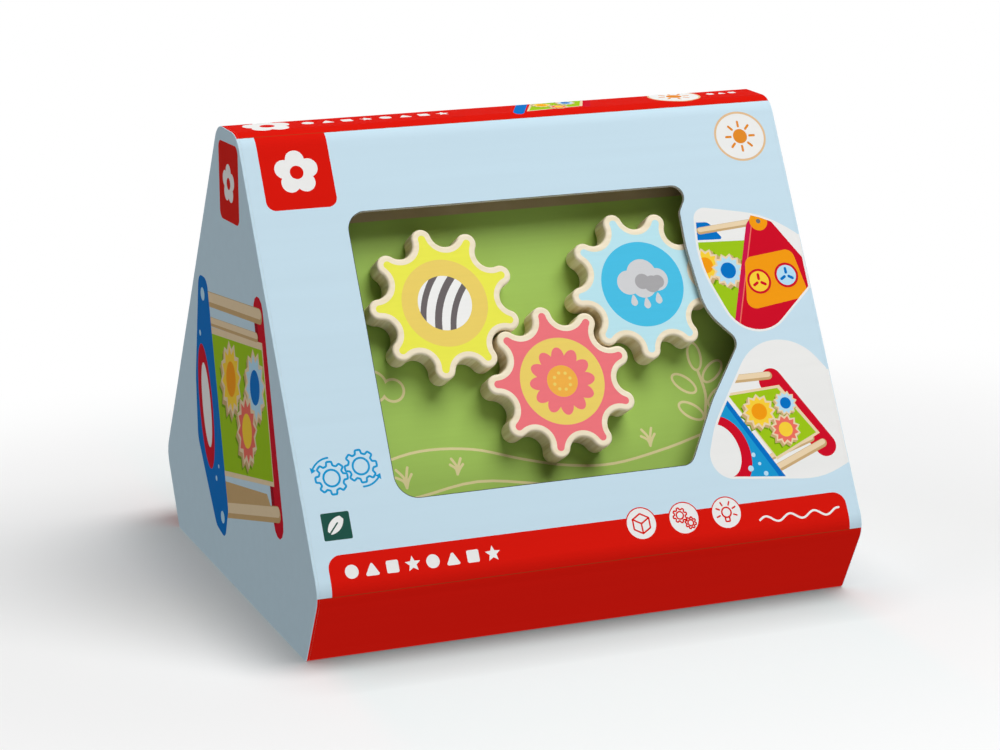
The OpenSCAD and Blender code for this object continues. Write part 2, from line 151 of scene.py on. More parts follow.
@dataclass(frozen=True)
class Finish:
    """A surface finish: a named material with a Principled shader that each kind wires."""

    name: str

    def material(self) -> bpy.types.Material:
        """Makes the finish's material on first use.

        Returns:
            The one material of this name.
        """
        made = bpy.data.materials.get(self.name)
        if made is None:
            made = bpy.data.materials.new(self.name)
            made.use_nodes = True
            tree = made.node_tree
            tree.nodes.clear()
            shader = add_node(tree, "ShaderNodeBsdfPrincipled", self.wire(tree))
            add_node(tree, "ShaderNodeOutputMaterial", {"Surface": shader})
        return made

    def wire(self, tree: Tree) -> dict[str, object]:
        """Adds the finish's own pattern and returns the shader's inputs by name."""
        raise NotImplementedError

    def pattern(self, tree: Tree, size: Corner, tilt: float = 0.0, detail: float = 2.0) -> Node:
        """Adds a noise that is stretched to real sizes in the part's frame.

        Args:
            tree: node tree that gets the nodes.
            size: width of one blotch along X, Y and Z in millimetres.
            tilt: turn of the pattern about X in degrees.
            detail: number of finer layers in the noise.

        Returns:
            The noise, whose first output is its level.
        """
        coords = add_node(tree, "ShaderNodeTexCoord").outputs["Object"]
        turn = (math.radians(-tilt), 0.0, 0.0)
        turned = add_node(tree, "ShaderNodeMapping", {"Vector": coords, "Rotation": turn})
        scale = tuple(PER_METRE / s for s in size)
        scaled = add_node(tree, "ShaderNodeMapping", {"Vector": turned, "Scale": scale})
        return add_node(tree, "ShaderNodeTexNoise", {"Vector": scaled, "Scale": 1.0, "Detail": detail})

    def blend(self, tree: Tree, level: Node, low: Colour, high: Colour) -> Socket:
        """Returns a colour that goes from low to high with the middle range of a noise."""
        spread = add_node(tree, "ShaderNodeMapRange", {"Value": level, "From Min": 0.32, "From Max": 0.68})
        return add_node(tree, "ShaderNodeMix", {0: spread, 6: low, 7: high}, data_type="RGBA").outputs[2]

    def relief(self, tree: Tree, *bumps: tuple[Node, float, float]) -> Node:
        """Adds one or more bumps.

        Args:
            tree: node tree that gets the nodes.
            bumps: height, strength and depth in millimetres of each bump, the finest first.

        Returns:
            The last bump, whose first output is the normal.
        """
        normal: dict[str, Node] = {}
        for height, strength, depth in bumps:
            inputs = {"Height": height, "Strength": strength, "Distance": depth * MM, **normal}
            normal = {"Normal": add_node(tree, "ShaderNodeBump", inputs)}
        return normal["Normal"]


@dataclass(frozen=True)
class CoatedBoard(Finish):
    """Offset-printed coated board on fine flute."""

    ink: str
    along: Corner = (160.0, 7.0, 7.0)
    contrast: float = 0.01
    roughness: float = 0.5

    def wire(self, tree: Tree) -> dict[str, object]:
        """Wires the printed board.

        Args:
            tree: node tree that gets the pattern.

        Returns:
            The shader's inputs by name.
        """
        # Litho ink under a matt lacquer: an even colour with a soft wide highlight. The liner
        # sinks a little between the flutes, which the eye sees as faint streaks along them.
        # The true flute spacing is 1.2 mm, too fine for the picture, so streaks are 7 mm wide.
        streaks = self.pattern(tree, self.along)
        fibres = self.pattern(tree, (0.9, 0.9, 0.9), detail=3.0)
        # The colour is a hair lighter and darker along the same streaks: painted light and shade of the
        # sunken liner.
        low, high = (linear(self.ink, 1 + side * self.contrast) for side in (-1, 1))
        return {
            "Base Color": self.blend(tree, streaks, low, high),
            "Normal": self.relief(tree, (fibres, 0.06, 0.2), (streaks, 0.1, 0.8)),
            "Roughness": self.roughness,
            "IOR": 1.46,
            "Specular IOR Level": 0.002,
        }


@dataclass(frozen=True)
class CutFlute(Finish):
    """Die-cut edge of fine corrugated board."""

    liner: str = "#f2efe6"
    medium: str = "#d6d1c4"
    # Dark colour of the flute hollows: painted shade.
    gap: str = "#8f897a"
    pitch: float = 1.2
    thickness: float = 1.6
    swing: float = 0.28
    paper_half: float = 0.2
    hollow_half: float = 0.56

    def wire(self, tree: Tree) -> dict[str, object]:
        """Wires the cut edge.

        Args:
            tree: node tree that gets the pattern.

        Returns:
            The shader's inputs by name.
        """
        # A cut across the flutes shows two pale liners, and between them a thin grey wave. The hollows
        # beside it are painted dark, as painted shade of the open flutes. The mesh carries millimetres
        # along the cut and through the board.
        place = add_node(tree, "ShaderNodeUVMap", uv_map=EDGE_LAYER)
        along, depth = add_node(tree, "ShaderNodeSeparateXYZ", {0: place}).outputs[:2]
        turns, middle = 2 * math.pi / self.pitch, self.thickness / 2
        angle = add_node(tree, "ShaderNodeMath", {0: along, 1: turns}, operation="MULTIPLY")
        sine = add_node(tree, "ShaderNodeMath", {0: angle}, operation="SINE")
        inputs = {0: sine, 1: self.thickness * self.swing, 2: middle}
        wave = add_node(tree, "ShaderNodeMath", inputs, operation="MULTIPLY_ADD")
        inputs = {0: depth, 1: wave, 2: self.paper_half}
        on_wave = add_node(tree, "ShaderNodeMath", inputs, operation="COMPARE")
        inputs = {0: depth, 1: middle, 2: self.hollow_half}
        hollow = add_node(tree, "ShaderNodeMath", inputs, operation="COMPARE")
        inputs = {0: on_wave, 6: linear(self.gap), 7: linear(self.medium)}
        inner = add_node(tree, "ShaderNodeMix", inputs, data_type="RGBA")
        inputs = {0: hollow, 6: linear(self.liner), 7: inner.outputs[2]}
        cut = add_node(tree, "ShaderNodeMix", inputs, data_type="RGBA")
        return {"Base Color": cut.outputs[2], "Roughness": 0.85, "Specular IOR Level": 0.2}


@dataclass(frozen=True)
class KraftBoard(Finish):
    """Unbleached liner of the board, inside the carton."""

    pale: str = "#c7a878"
    dark: str = "#b08d5c"

    def wire(self, tree: Tree) -> dict[str, object]:
        """Wires the brown liner.

        Args:
            tree: node tree that gets the pattern.

        Returns:
            The shader's inputs by name.
        """
        # Brown paper laid wet on a wire: cloudy fibre, a few darker specks, no gloss.
        cloud = self.pattern(tree, (14.0, 5.0, 5.0), detail=5.0)
        fibres = self.pattern(tree, (3.0, 0.8, 0.8), detail=3.0)
        return {
            "Base Color": self.blend(tree, cloud, linear(self.dark), linear(self.pale)),
            "Normal": self.relief(tree, (fibres, 0.2, 0.3)),
            "Roughness": 0.9,
            "Specular IOR Level": 0.15,
        }


@dataclass(frozen=True)
class BareWood(Finish):
    """Sanded and waxed timber, with the grain drawn out along its real direction."""

    pale: str
    dark: str
    grain: Corner
    tilt: float = 0.0
    roughness: float = 0.5

    def wire(self, tree: Tree) -> dict[str, object]:
        """Wires the bare wood.

        Args:
            tree: node tree that gets the pattern.

        Returns:
            The shader's inputs by name.
        """
        # Sanded smooth and waxed: pale early wood with slightly darker fine lines, and a wide
        # soft sheen. Lines follow the fibre, or the layers where the cut shows the plies.
        lines = self.pattern(tree, self.grain, self.tilt, detail=5.0)
        return {
            "Base Color": self.blend(tree, lines, linear(self.dark), linear(self.pale)),
            "Normal": self.relief(tree, (lines, 0.18, 0.3)),
            "Roughness": self.roughness,
            "IOR": 1.5,
            "Specular IOR Level": 0.4,
        }


@dataclass(frozen=True)
class WaterPaint(Finish):
    """Water-based toy paint, printed or sprayed on wood."""

    colour: str
    grain: Corner = (60.0, 2.0, 2.0)
    tilt: float = SLOPE
    roughness: float = 0.42
    contrast: float = 0.012

    def wire(self, tree: Tree) -> dict[str, object]:
        """Wires the painted wood.

        Args:
            tree: node tree that gets the pattern.

        Returns:
            The shader's inputs by name.
        """
        # A thin satin coat: the grain stays as a faint relief under it, and the colour is a
        # little deeper where the paint settled.
        lines = self.pattern(tree, self.grain, self.tilt, detail=4.0)
        spray = self.pattern(tree, (1.1, 1.1, 1.1))
        low, high = (linear(self.colour, 1 + side * self.contrast) for side in (-1, 1))
        return {
            "Base Color": self.blend(tree, lines, low, high),
            "Normal": self.relief(tree, (spray, 0.05, 0.3), (lines, 0.1, 0.3)),
            "Roughness": self.roughness,
            "IOR": 1.5,
            "Specular IOR Level": 0.1,
        }


@dataclass(frozen=True)
class HardPlate(Finish):
    """Metal or plastic with a fine worked surface."""

    colour: str
    metallic: float
    roughness: float
    grit: Corner
    strength: float = 0.05

    def wire(self, tree: Tree) -> dict[str, object]:
        """Wires the hard skin.

        Args:
            tree: node tree that gets the pattern.

        Returns:
            The shader's inputs by name.
        """
        # A polished or moulded skin: one tone, with fine unevenness in how it reflects.
        worked = self.pattern(tree, self.grit, detail=3.0)
        return {
            "Base Color": self.blend(tree, worked, linear(self.colour, 0.95), linear(self.colour, 1.03)),
            "Normal": self.relief(tree, (worked, self.strength, 0.1)),
            "Metallic": self.metallic,
            "Roughness": self.roughness,
        }


# Carton inks and boards
PALE_BLUE = CoatedBoard("coated_board_pale_blue", "#c6deeb")
RED = CoatedBoard("coated_board_red", "#d6190f")
SCORE = CoatedBoard("coated_board_scored", "#a83c1c")
# Dark ink for a thin ring round the window: painted shade along its cut edge.
WINDOW_EDGE_SHADE = CoatedBoard("coated_board_window_edge_shade", "#50554e")
WHITE = CoatedBoard("coated_board_white", "#ebebe9")
TAN = CoatedBoard("coated_board_tan", "#e0bb90")
AMBER = CoatedBoard("coated_board_amber", "#e08a2c")
FOREST = CoatedBoard("coated_board_forest", "#255348")
SKY = CoatedBoard("coated_board_sky", "#1d97cf")
LEAF = CoatedBoard("coated_board_leaf", "#9cc41c")
MOSS = CoatedBoard("coated_board_moss", "#6f9812")
BEIGE = CoatedBoard("coated_board_beige", "#e9d2ad")
BISCUIT = CoatedBoard("coated_board_biscuit", "#c9a877")
OCEAN = CoatedBoard("coated_board_ocean", "#0b71c2")
CRIMSON = CoatedBoard("coated_board_crimson", "#cd1229")
MAROON = CoatedBoard("coated_board_maroon", "#9c0d20")
ORANGE = CoatedBoard("coated_board_orange", "#f29a16")
SUN = CoatedBoard("coated_board_sun", "#f7cf3c")
CORAL = CoatedBoard("coated_board_coral", "#ea6f60")
ROSE = CoatedBoard("coated_board_rose", "#cc1a48")
MIST = CoatedBoard("coated_board_mist", "#b6dcf0")
PEBBLE = CoatedBoard("coated_board_pebble", "#6c6f73")
CUT_EDGE = CutFlute("corrugated_cut_edge")
# Its dark hollow colour too is painted shade.
KRAFT_EDGE = CutFlute("kraft_cut_edge", liner="#b3925f", medium="#9a7b4c", gap="#4a3820")
KRAFT = KraftBoard("kraft_liner")

# Woods of the toy
PLY_LAYERS = (60.0, 60.0, 1.4)
BEECH = BareWood("beech_dowel", "#ecd6b0", "#d8b98a", (70.0, 1.3, 1.3))
PEG_WOOD = BareWood("beech_peg", "#e6cb9c", "#cfae7c", (1.6, 18.0, 18.0), SLOPE)
GEAR_FACE = BareWood("lime_gear_face", "#eee2c8", "#e6d8b8", (60.0, 2.6, 2.6), SLOPE)
GEAR_SIDE = BareWood("lime_gear_side", "#efe2c6", "#d3be92", (2.2, 2.2, 90.0), SLOPE)
# Painted shade: birch ply darker and greyer than the rest, for the gear panel, bores and grooves.
SHADED_BIRCH = BareWood("birch_edge_painted_shade", "#b8a97e", "#9f8f64", PLY_LAYERS, SLOPE)
BACK_PLY = BareWood("birch_back_panel_edge", "#e2c697", "#c6a26c", PLY_LAYERS, -SLOPE)
FLOOR_PLY = BareWood("birch_floor", "#ecd3a8", "#d4b47f", (90.0, 2.4, 1.2))

# Paints of the toy, over the grain of the ends, of the turning discs and of the sloping pieces
END_GRAIN, DISC_GRAIN = (1.4, 90.0, 90.0), (1.4, 40.0, 40.0)
BLUE_PAINT = WaterPaint("paint_blue", "#0f72c0", END_GRAIN, 0.0)
RED_PAINT = WaterPaint("paint_red", "#cb132b", END_GRAIN, 0.0)
CRIMSON_PAINT = WaterPaint("paint_crimson", "#c4143c", END_GRAIN, 0.0)
ORANGE_PAINT = WaterPaint("paint_orange", "#f09a1c", END_GRAIN, 0.0)
RUST_PAINT = WaterPaint("paint_rust", "#dd6414", END_GRAIN, 0.0)
LIGHT_BLUE_PAINT = WaterPaint("paint_light_blue", "#7fc6ea", DISC_GRAIN, 0.0)
WHITE_PAINT = WaterPaint("paint_white", "#f1eee6", DISC_GRAIN, 0.0)
SUN_PAINT = WaterPaint("paint_sun", "#f2c64c", tilt=-SLOPE)
PEACH_PAINT = WaterPaint("paint_peach", "#f0975a", tilt=-SLOPE)
CREAM_PAINT = WaterPaint("paint_cream", "#f6e8b8", tilt=-SLOPE)
GREEN_PAINT = WaterPaint("paint_green", "#9ec05a")
LINE_PAINT = WaterPaint("paint_beige", "#d9cf98")
YELLOW_PAINT = WaterPaint("paint_yellow", "#eae84c")
CORAL_PAINT = WaterPaint("paint_coral", "#ec737a")
ICE_PAINT = WaterPaint("paint_ice_blue", "#b8e2ec")
HONEY_PAINT = WaterPaint("paint_honey", "#eace64")
AZURE_PAINT = WaterPaint("paint_azure", "#43bce2")
CHALK_PAINT = WaterPaint("paint_chalk", "#efefed")
SLATE_PAINT = WaterPaint("paint_slate", "#665f60")
SILVER_PAINT = WaterPaint("paint_silver_grey", "#cfd0d2")
CLOUD_PAINT = WaterPaint("paint_cloud_grey", "#a5a4a6")
AMBER_PAINT = WaterPaint("paint_amber", "#efae44")

# Mirror and small hard parts
MIRROR = HardPlate("silvered_acrylic", "#e6ecef", 1.0, 0.04, (30.0, 30.0, 30.0), strength=0.01)
STEEL = HardPlate("blackened_steel", "#4c4f54", 1.0, 0.38, (0.6, 0.6, 0.6))
NYLON = HardPlate("moulded_nylon", "#efece2", 0.0, 0.45, (1.5, 1.5, 1.5))


# Outlines


def polar(centre: Point, radius: float, angle: float) -> Point:
    """Point at a distance from a centre and at an angle in degrees."""
    a = math.radians(angle)
    return (centre[0] + radius * math.cos(a), centre[1] + radius * math.sin(a))


def arc(centre: Point, radius: float, start: float, sweep: float, steps: int) -> Outline:
    """Points along an arc with both ends, its start and sweep in degrees."""
    return [polar(centre, radius, start + sweep * i / steps) for i in range(steps + 1)]


def oval(centre: Point, half_w: float, half_h: float, turn: float = 0.0, steps: int = 64) -> Outline:
    """Points of an oval whose axes are turned by an angle in degrees."""
    ring = [(half_w * x, half_h * y) for x, y in arc((0, 0), 1, 0, 360, steps)[:-1]]
    return moved(ring, centre, turn)


def circle(centre: Point, radius: float, steps: int = 48) -> Outline:
    """Points of a circle."""
    return oval(centre, radius, radius, steps=steps)


def moved(outline: Sequence[Point], to: Point, turn: float = 0.0, size: float = 1.0) -> Outline:
    """Scales an outline, turns it in degrees about the origin and moves it."""
    c, s = size * math.cos(math.radians(turn)), size * math.sin(math.radians(turn))
    return [(to[0] + x * c - y * s, to[1] + x * s + y * c) for x, y in outline]


def fillet(corners: Sequence[Corner], i: int) -> tuple[Vector, Vector, float]:
    """Arc that rounds one corner of a polygon.

    Args:
        corners: corners as (x, y, radius).
        i: number of the corner.

    Returns:
        The arc's first point, its centre and its turn to the left in radians.
    """
    (x, y, radius), before, after = corners[i], corners[i - 1], corners[(i + 1) % len(corners)]
    into = Vector((x - before[0], y - before[1])).normalized()
    out = Vector((after[0] - x, after[1] - y)).normalized()
    turn = math.atan2(into.x * out.y - into.y * out.x, into.dot(out))
    start = Vector((x, y)) - into * radius * math.tan(abs(turn) / 2)
    return start, start + math.copysign(radius, turn) * Vector((-into.y, into.x)), turn


def rounded(corners: Sequence[Corner], inset: float = 0.0, step: float = 6.0) -> Outline:
    """Outline of an anticlockwise polygon with rounded corners.

    Args:
        corners: corners as (x, y, radius).
        inset: distance that the outline moves into the polygon.
        step: largest turn of a chord in degrees.

    Returns:
        The points, as many for every inset.
    """
    points: Outline = []
    for i, (_, _, radius) in enumerate(corners):
        start, centre, turn = fillet(corners, i)
        side = math.copysign(1.0, turn)
        spoke = (start - centre) * ((radius - side * inset) / radius)
        steps = math.ceil(abs(math.degrees(turn)) / step - 1e-6)
        for k in range(steps + 1):
            a = turn * k / max(steps, 1)
            c, s = math.cos(a), math.sin(a)
            points.append((centre.x + spoke.x * c - spoke.y * s, centre.y + spoke.x * s + spoke.y * c))
    return points


def block(x0: float, y0: float, x1: float, y1: float, radius: float = 0.5) -> list[Corner]:
    """Corners of a rectangle with one corner radius."""
    return [(x0, y0, radius), (x1, y0, radius), (x1, y1, radius), (x0, y1, radius)]


def curve(points: Sequence[Point], closed: bool = True, steps: int = 6) -> Outline:
    """Smooth curve through points.

    Args:
        points: points that the curve passes.
        closed: whether the curve joins its ends.
        steps: chords between two points.

    Returns:
        The points of the curve.
    """
    n = len(points)
    out: Outline = []
    for i in range(n if closed else n - 1):
        near = range(i - 1, i + 3)
        p = [points[k % n] if closed else points[min(max(k, 0), n - 1)] for k in near]
        for t in (k / steps for k in range(steps)):
            early = ((-t + 2 * t * t - t**3) / 2, (2 - 5 * t * t + 3 * t**3) / 2)
            late = ((t + 4 * t * t - 3 * t**3) / 2, (t**3 - t * t) / 2)
            x, y = (sum(w * q[axis] for w, q in zip(early + late, p)) for axis in (0, 1))
            out.append((x, y))
    return out if closed else out + [points[-1]]


def stroke(points: Sequence[Point], width: float) -> Outline:
    """Outline of a drawn line with round ends.

    Args:
        points: points of the line.
        width: its width.

    Returns:
        The points, anticlockwise.
    """
    left: Outline = []
    right: Outline = []
    for i, (x, y) in enumerate(points):
        a, b = points[max(i - 1, 0)], points[min(i + 1, len(points) - 1)]
        dx, dy = b[0] - a[0], b[1] - a[1]
        size = math.hypot(dx, dy)
        left.append((x - width / 2 * dy / size, y + width / 2 * dx / size))
        right.append((x + width / 2 * dy / size, y - width / 2 * dx / size))
    first = math.degrees(math.atan2(points[1][1] - points[0][1], points[1][0] - points[0][0]))
    last = math.degrees(math.atan2(points[-1][1] - points[-2][1], points[-1][0] - points[-2][0]))
    head = arc(points[-1], width / 2, last - 90, 180, 6)[1:-1]
    tail = arc(points[0], width / 2, first + 90, 180, 6)[1:-1]
    return right + head + left[::-1] + tail


def cog(centre: Point, tip: float, root: float, teeth: int, turn: float = 0.0) -> Outline:
    """Outline of a small drawn gear with flat teeth."""
    tooth = ((-0.33, root), (-0.2, tip), (0.2, tip), (0.33, root))
    return [polar(centre, r, turn + (k + share) * (360 / teeth)) for k in range(teeth) for share, r in tooth]


def star(centre: Point, tip: float, root: float, points: int, turn: float = 90.0) -> Outline:
    """Outline of a star."""
    return [polar(centre, root if k % 2 else tip, turn + 180 * k / points) for k in range(2 * points)]


# Meshes


@dataclass(frozen=True)
class Axes:
    """A place in the part's frame with three axes, of which the third points outwards."""

    origin: Vector
    a: Vector
    b: Vector
    c: Vector

    def at(self, a: float, b: float, c: float = 0.0) -> Vector:
        """Point at three local distances."""
        return self.origin + self.a * a + self.b * b + self.c * c

    def along(self, a: float, b: float, c: float) -> Vector:
        """Direction with three local parts."""
        return self.a * a + self.b * b + self.c * c

    def moved(self, a: float, b: float, c: float = 0.0) -> "Axes":
        """The same axes at another place."""
        return Axes(self.at(a, b, c), self.a, self.b, self.c)


X, Y, Z = Vector((1, 0, 0)), Vector((0, 1, 0)), Vector((0, 0, 1))
RISE = Vector((0.0, math.cos(math.radians(SLOPE)), math.sin(math.radians(SLOPE))))
FRONT = Axes(Vector((0, -136, 40)), X, RISE, Vector((0, -RISE.z, RISE.y)))
BACK = Axes(Vector((0, 136, 40)), -X, Vector((0, -RISE.y, RISE.z)), Vector((0, RISE.z, RISE.y)))


def facing_right(x: float) -> Axes:
    """Axes on a face that looks along +X."""
    return Axes(Vector((x, 0, 0)), Y, Z, X)


def facing_left(x: float) -> Axes:
    """Axes on a face that looks along -X."""
    return Axes(Vector((x, 0, 0)), -Y, Z, -X)


def facing_up(z: float) -> Axes:
    """Axes on a face that looks up."""
    return Axes(Vector((0, 0, z)), X, Y, Z)


@dataclass(eq=False)
class Print:
    """A flat shape of one finish, which may show only within another shape."""

    outline: Outline
    finish: Finish
    within: "Print | None" = None


@dataclass(eq=False)
class Recess:
    """A pocket cut into a face, or a hole right through where depth is None."""

    outline: Outline
    depth: float | None
    floor: Finish | None = None
    wall: Finish | None = None


@dataclass
class Cut:
    """A plane region cut along outlines: points, triangles and the outlines round each."""

    points: Outline
    triangles: list[tuple[int, int, int]]
    inside: list[set[int]]
    source: list[list[int]]


def cut_plane(outlines: Sequence[Sequence[Point]], lines: Sequence[tuple[Point, Point]] = ()) -> Cut:
    """Cuts the plane along outlines and lines.

    Args:
        outlines: closed outlines, the first of which bounds the region.
        lines: straight lines that become edges.

    Returns:
        The region's triangles, each with the numbers of the outlines that hold it.
    """
    points: list[Vector] = []
    faces: list[list[int]] = []
    for outline in outlines:
        following = list(outline[1:]) + [outline[0]]
        area = sum(p[0] * q[1] - q[0] * p[1] for p, q in zip(outline, following))
        ids = list(range(len(points), len(points) + len(outline)))
        points += [Vector(p) for p in outline]
        faces.append(ids if area > 0 else ids[::-1])
    edges: list[tuple[int, int]] = []
    for start, end in lines:
        edges.append((len(points), len(points) + 1))
        points += [Vector(start), Vector(end)]
    found = delaunay_2d_cdt(points, edges, faces, 1, 1e-5, True)
    held = [(tuple(face), set(holders)) for face, holders in zip(found[2], found[5]) if 0 in holders]
    places = [(p.x, p.y) for p in found[0]]
    return Cut(places, [f for f, _ in held], [h for _, h in held], [list(v) for v in found[3]])


@dataclass(eq=False)
class Piece:
    """One closed mesh of the visual model, collected face by face in millimetres.

    node is the CAD node that it stands for, and body is what it rides on.
    """

    name: str
    node: str
    slot: Slot
    body: Body = Body.TOY
    points: list[Vector] = field(default_factory=list)
    faces: list[Sequence[int]] = field(default_factory=list)
    finishes: list[Finish] = field(default_factory=list)
    normals: list[Sequence[Vector] | None] = field(default_factory=list)
    edge_places: list[Sequence[Point] | None] = field(default_factory=list)

    def point(self, place: Vector) -> int:
        """Adds a point and returns its number."""
        self.points.append(place)
        return len(self.points) - 1

    def face(
        self,
        ids: Sequence[int],
        finish: Finish,
        normals: Sequence[Vector] | None = None,
        places: Sequence[Point] | None = None,
    ) -> None:
        """Adds a face.

        Args:
            ids: numbers of its points, anticlockwise from outside.
            finish: its finish.
            normals: shading normal at each point, or None for a flat face.
            places: millimetres along and through a cut edge at each point.
        """
        self.faces.append(ids)
        self.finishes.append(finish)
        self.normals.append(normals)
        self.edge_places.append(places)

    def to_object(self) -> bpy.types.Object:
        """Makes the mesh with its finishes and normals.

        Returns:
            The object that carries it.
        """
        mesh = bpy.data.meshes.new(self.name)
        mesh.from_pydata([p * MM for p in self.points], [], [list(f) for f in self.faces])
        used = list(dict.fromkeys(self.finishes))
        for finish in used:
            mesh.materials.append(finish.material())
        mesh.polygons.foreach_set("material_index", [used.index(f) for f in self.finishes])
        mesh.polygons.foreach_set("use_smooth", [True] * len(self.faces))
        if any(self.edge_places):
            flat: list[float] = []
            for ids, places in zip(self.faces, self.edge_places):
                flat += [c for p in (places or [(0.0, 0.0)] * len(ids)) for c in p]
            mesh.uv_layers.new(name=EDGE_LAYER).data.foreach_set("uv", flat)
        mesh.update()
        shading: list[Vector] = []
        for polygon, normals in zip(mesh.polygons, self.normals):
            shading += normals or [polygon.normal] * len(polygon.vertices)
        mesh.normals_split_custom_set([tuple(n) for n in shading])
        made = bpy.data.objects.new(self.name, mesh)
        bpy.context.scene.collection.objects.link(made)
        return made


def print_finish(base: Finish, prints: Sequence[Print], first: int, holders: set[int]) -> Finish:
    """Finish of a triangle: that of the last print that holds it.

    Args:
        base: finish of the bare face.
        prints: prints in the order in which they are laid.
        first: number of the first print among the outlines.
        holders: numbers of the outlines that hold the triangle.

    Returns:
        The finish that shows.
    """
    shown = base
    for i, p in enumerate(prints):
        if first + i in holders and (p.within is None or first + prints.index(p.within) in holders):
            shown = p.finish
    return shown


@dataclass
class Cap:
    """A flat face bounded by a ring of points, with prints, pockets and holes."""

    axes: Axes
    finish: Finish
    prints: Sequence[Print] = ()
    recesses: Sequence[Recess] = ()
    flipped: bool = False

    def depth(self, level: int | None) -> float | None:
        """Depth of a recess by its number, 0 for the face itself and None for a hole."""
        return 0.0 if level is None else self.recesses[level].depth

    def levels(self, cut: Cut) -> list[int | None]:
        """Finds the recess that each triangle of the face lies in.

        Args:
            cut: the face, cut along the recesses.

        Returns:
            The recess's number or None by triangle, where a hole goes before a pocket.
        """
        out: list[int | None] = []
        for holders in cut.inside:
            held = [i for i in range(len(self.recesses)) if 1 + i in holders]
            through = [i for i in held if self.recesses[i].depth is None]
            out.append((through or held or [None])[-1])
        return out

    def build(self, piece: Piece, ring: Outline, ids: Sequence[int], c: float) -> list[dict[int, int]]:
        """Fills the ring.

        Args:
            piece: piece that gets the faces.
            ring: the ring's points in the plane.
            ids: numbers of the ring's points in the piece.
            c: height of the face along the third axis.

        Returns:
            For each recess, the piece's points on the rim of a through hole, by number in the
            recess's outline.
        """
        outlines = [ring] + [r.outline for r in self.recesses] + [p.outline for p in self.prints]
        cut = cut_plane(outlines)
        levels = self.levels(cut)
        starts = [0]
        for outline in outlines:
            starts.append(starts[-1] + len(outline))
        sign = -1.0 if self.flipped else 1.0
        order = -1 if self.flipped else 1
        made: dict[tuple[int, int | None], int] = {}

        def number(v: int, level: int | None) -> int:
            """Makes a point of the cut at a level, on first use.

            Args:
                v: number of the point in the cut.
                level: number of a recess, or None for the face itself.

            Returns:
                Its number in the piece.
            """
            if (v, level) not in made:
                own = [s for s in cut.source[v] if s < len(ring)]
                if level is None and own:
                    made[v, level] = ids[own[0]]
                else:
                    place = self.axes.at(*cut.points[v], c - sign * self.depth(level))
                    made[v, level] = piece.point(place)
            return made[v, level]

        beside: dict[tuple[int, int], int | None] = {}
        for triangle, level in zip(cut.triangles, levels):
            for i in range(3):
                beside[triangle[i], triangle[(i + 1) % 3]] = level
        rims: list[dict[int, int]] = [{} for _ in self.recesses]
        for triangle, level, holders in zip(cut.triangles, levels, cut.inside):
            if self.depth(level) is None:
                continue
            shown = print_finish(self.finish, self.prints, 1 + len(self.recesses), holders)
            if level is not None:
                shown = self.recesses[level].floor or shown
            corners = [number(v, level) for v in triangle]
            piece.face(corners[::order], shown, [self.axes.c * sign] * 3)
            for i in range(3):
                p, q = triangle[i], triangle[(i + 1) % 3]
                other = beside.get((q, p), level)
                if other == level:
                    continue
                if self.depth(other) is None:
                    low, high = starts[1 + other : 3 + other]
                    for v in (p, q):
                        on_rim = [s - low for s in cut.source[v] if low <= s < high]
                        rims[other].update({i: number(v, level) for i in on_rim})
                elif self.depth(other) > self.depth(level):
                    wall = [number(q, level), number(p, level), number(p, other), number(q, other)]
                    piece.face(wall[::order], self.recesses[other].wall or self.finish)
        return rims


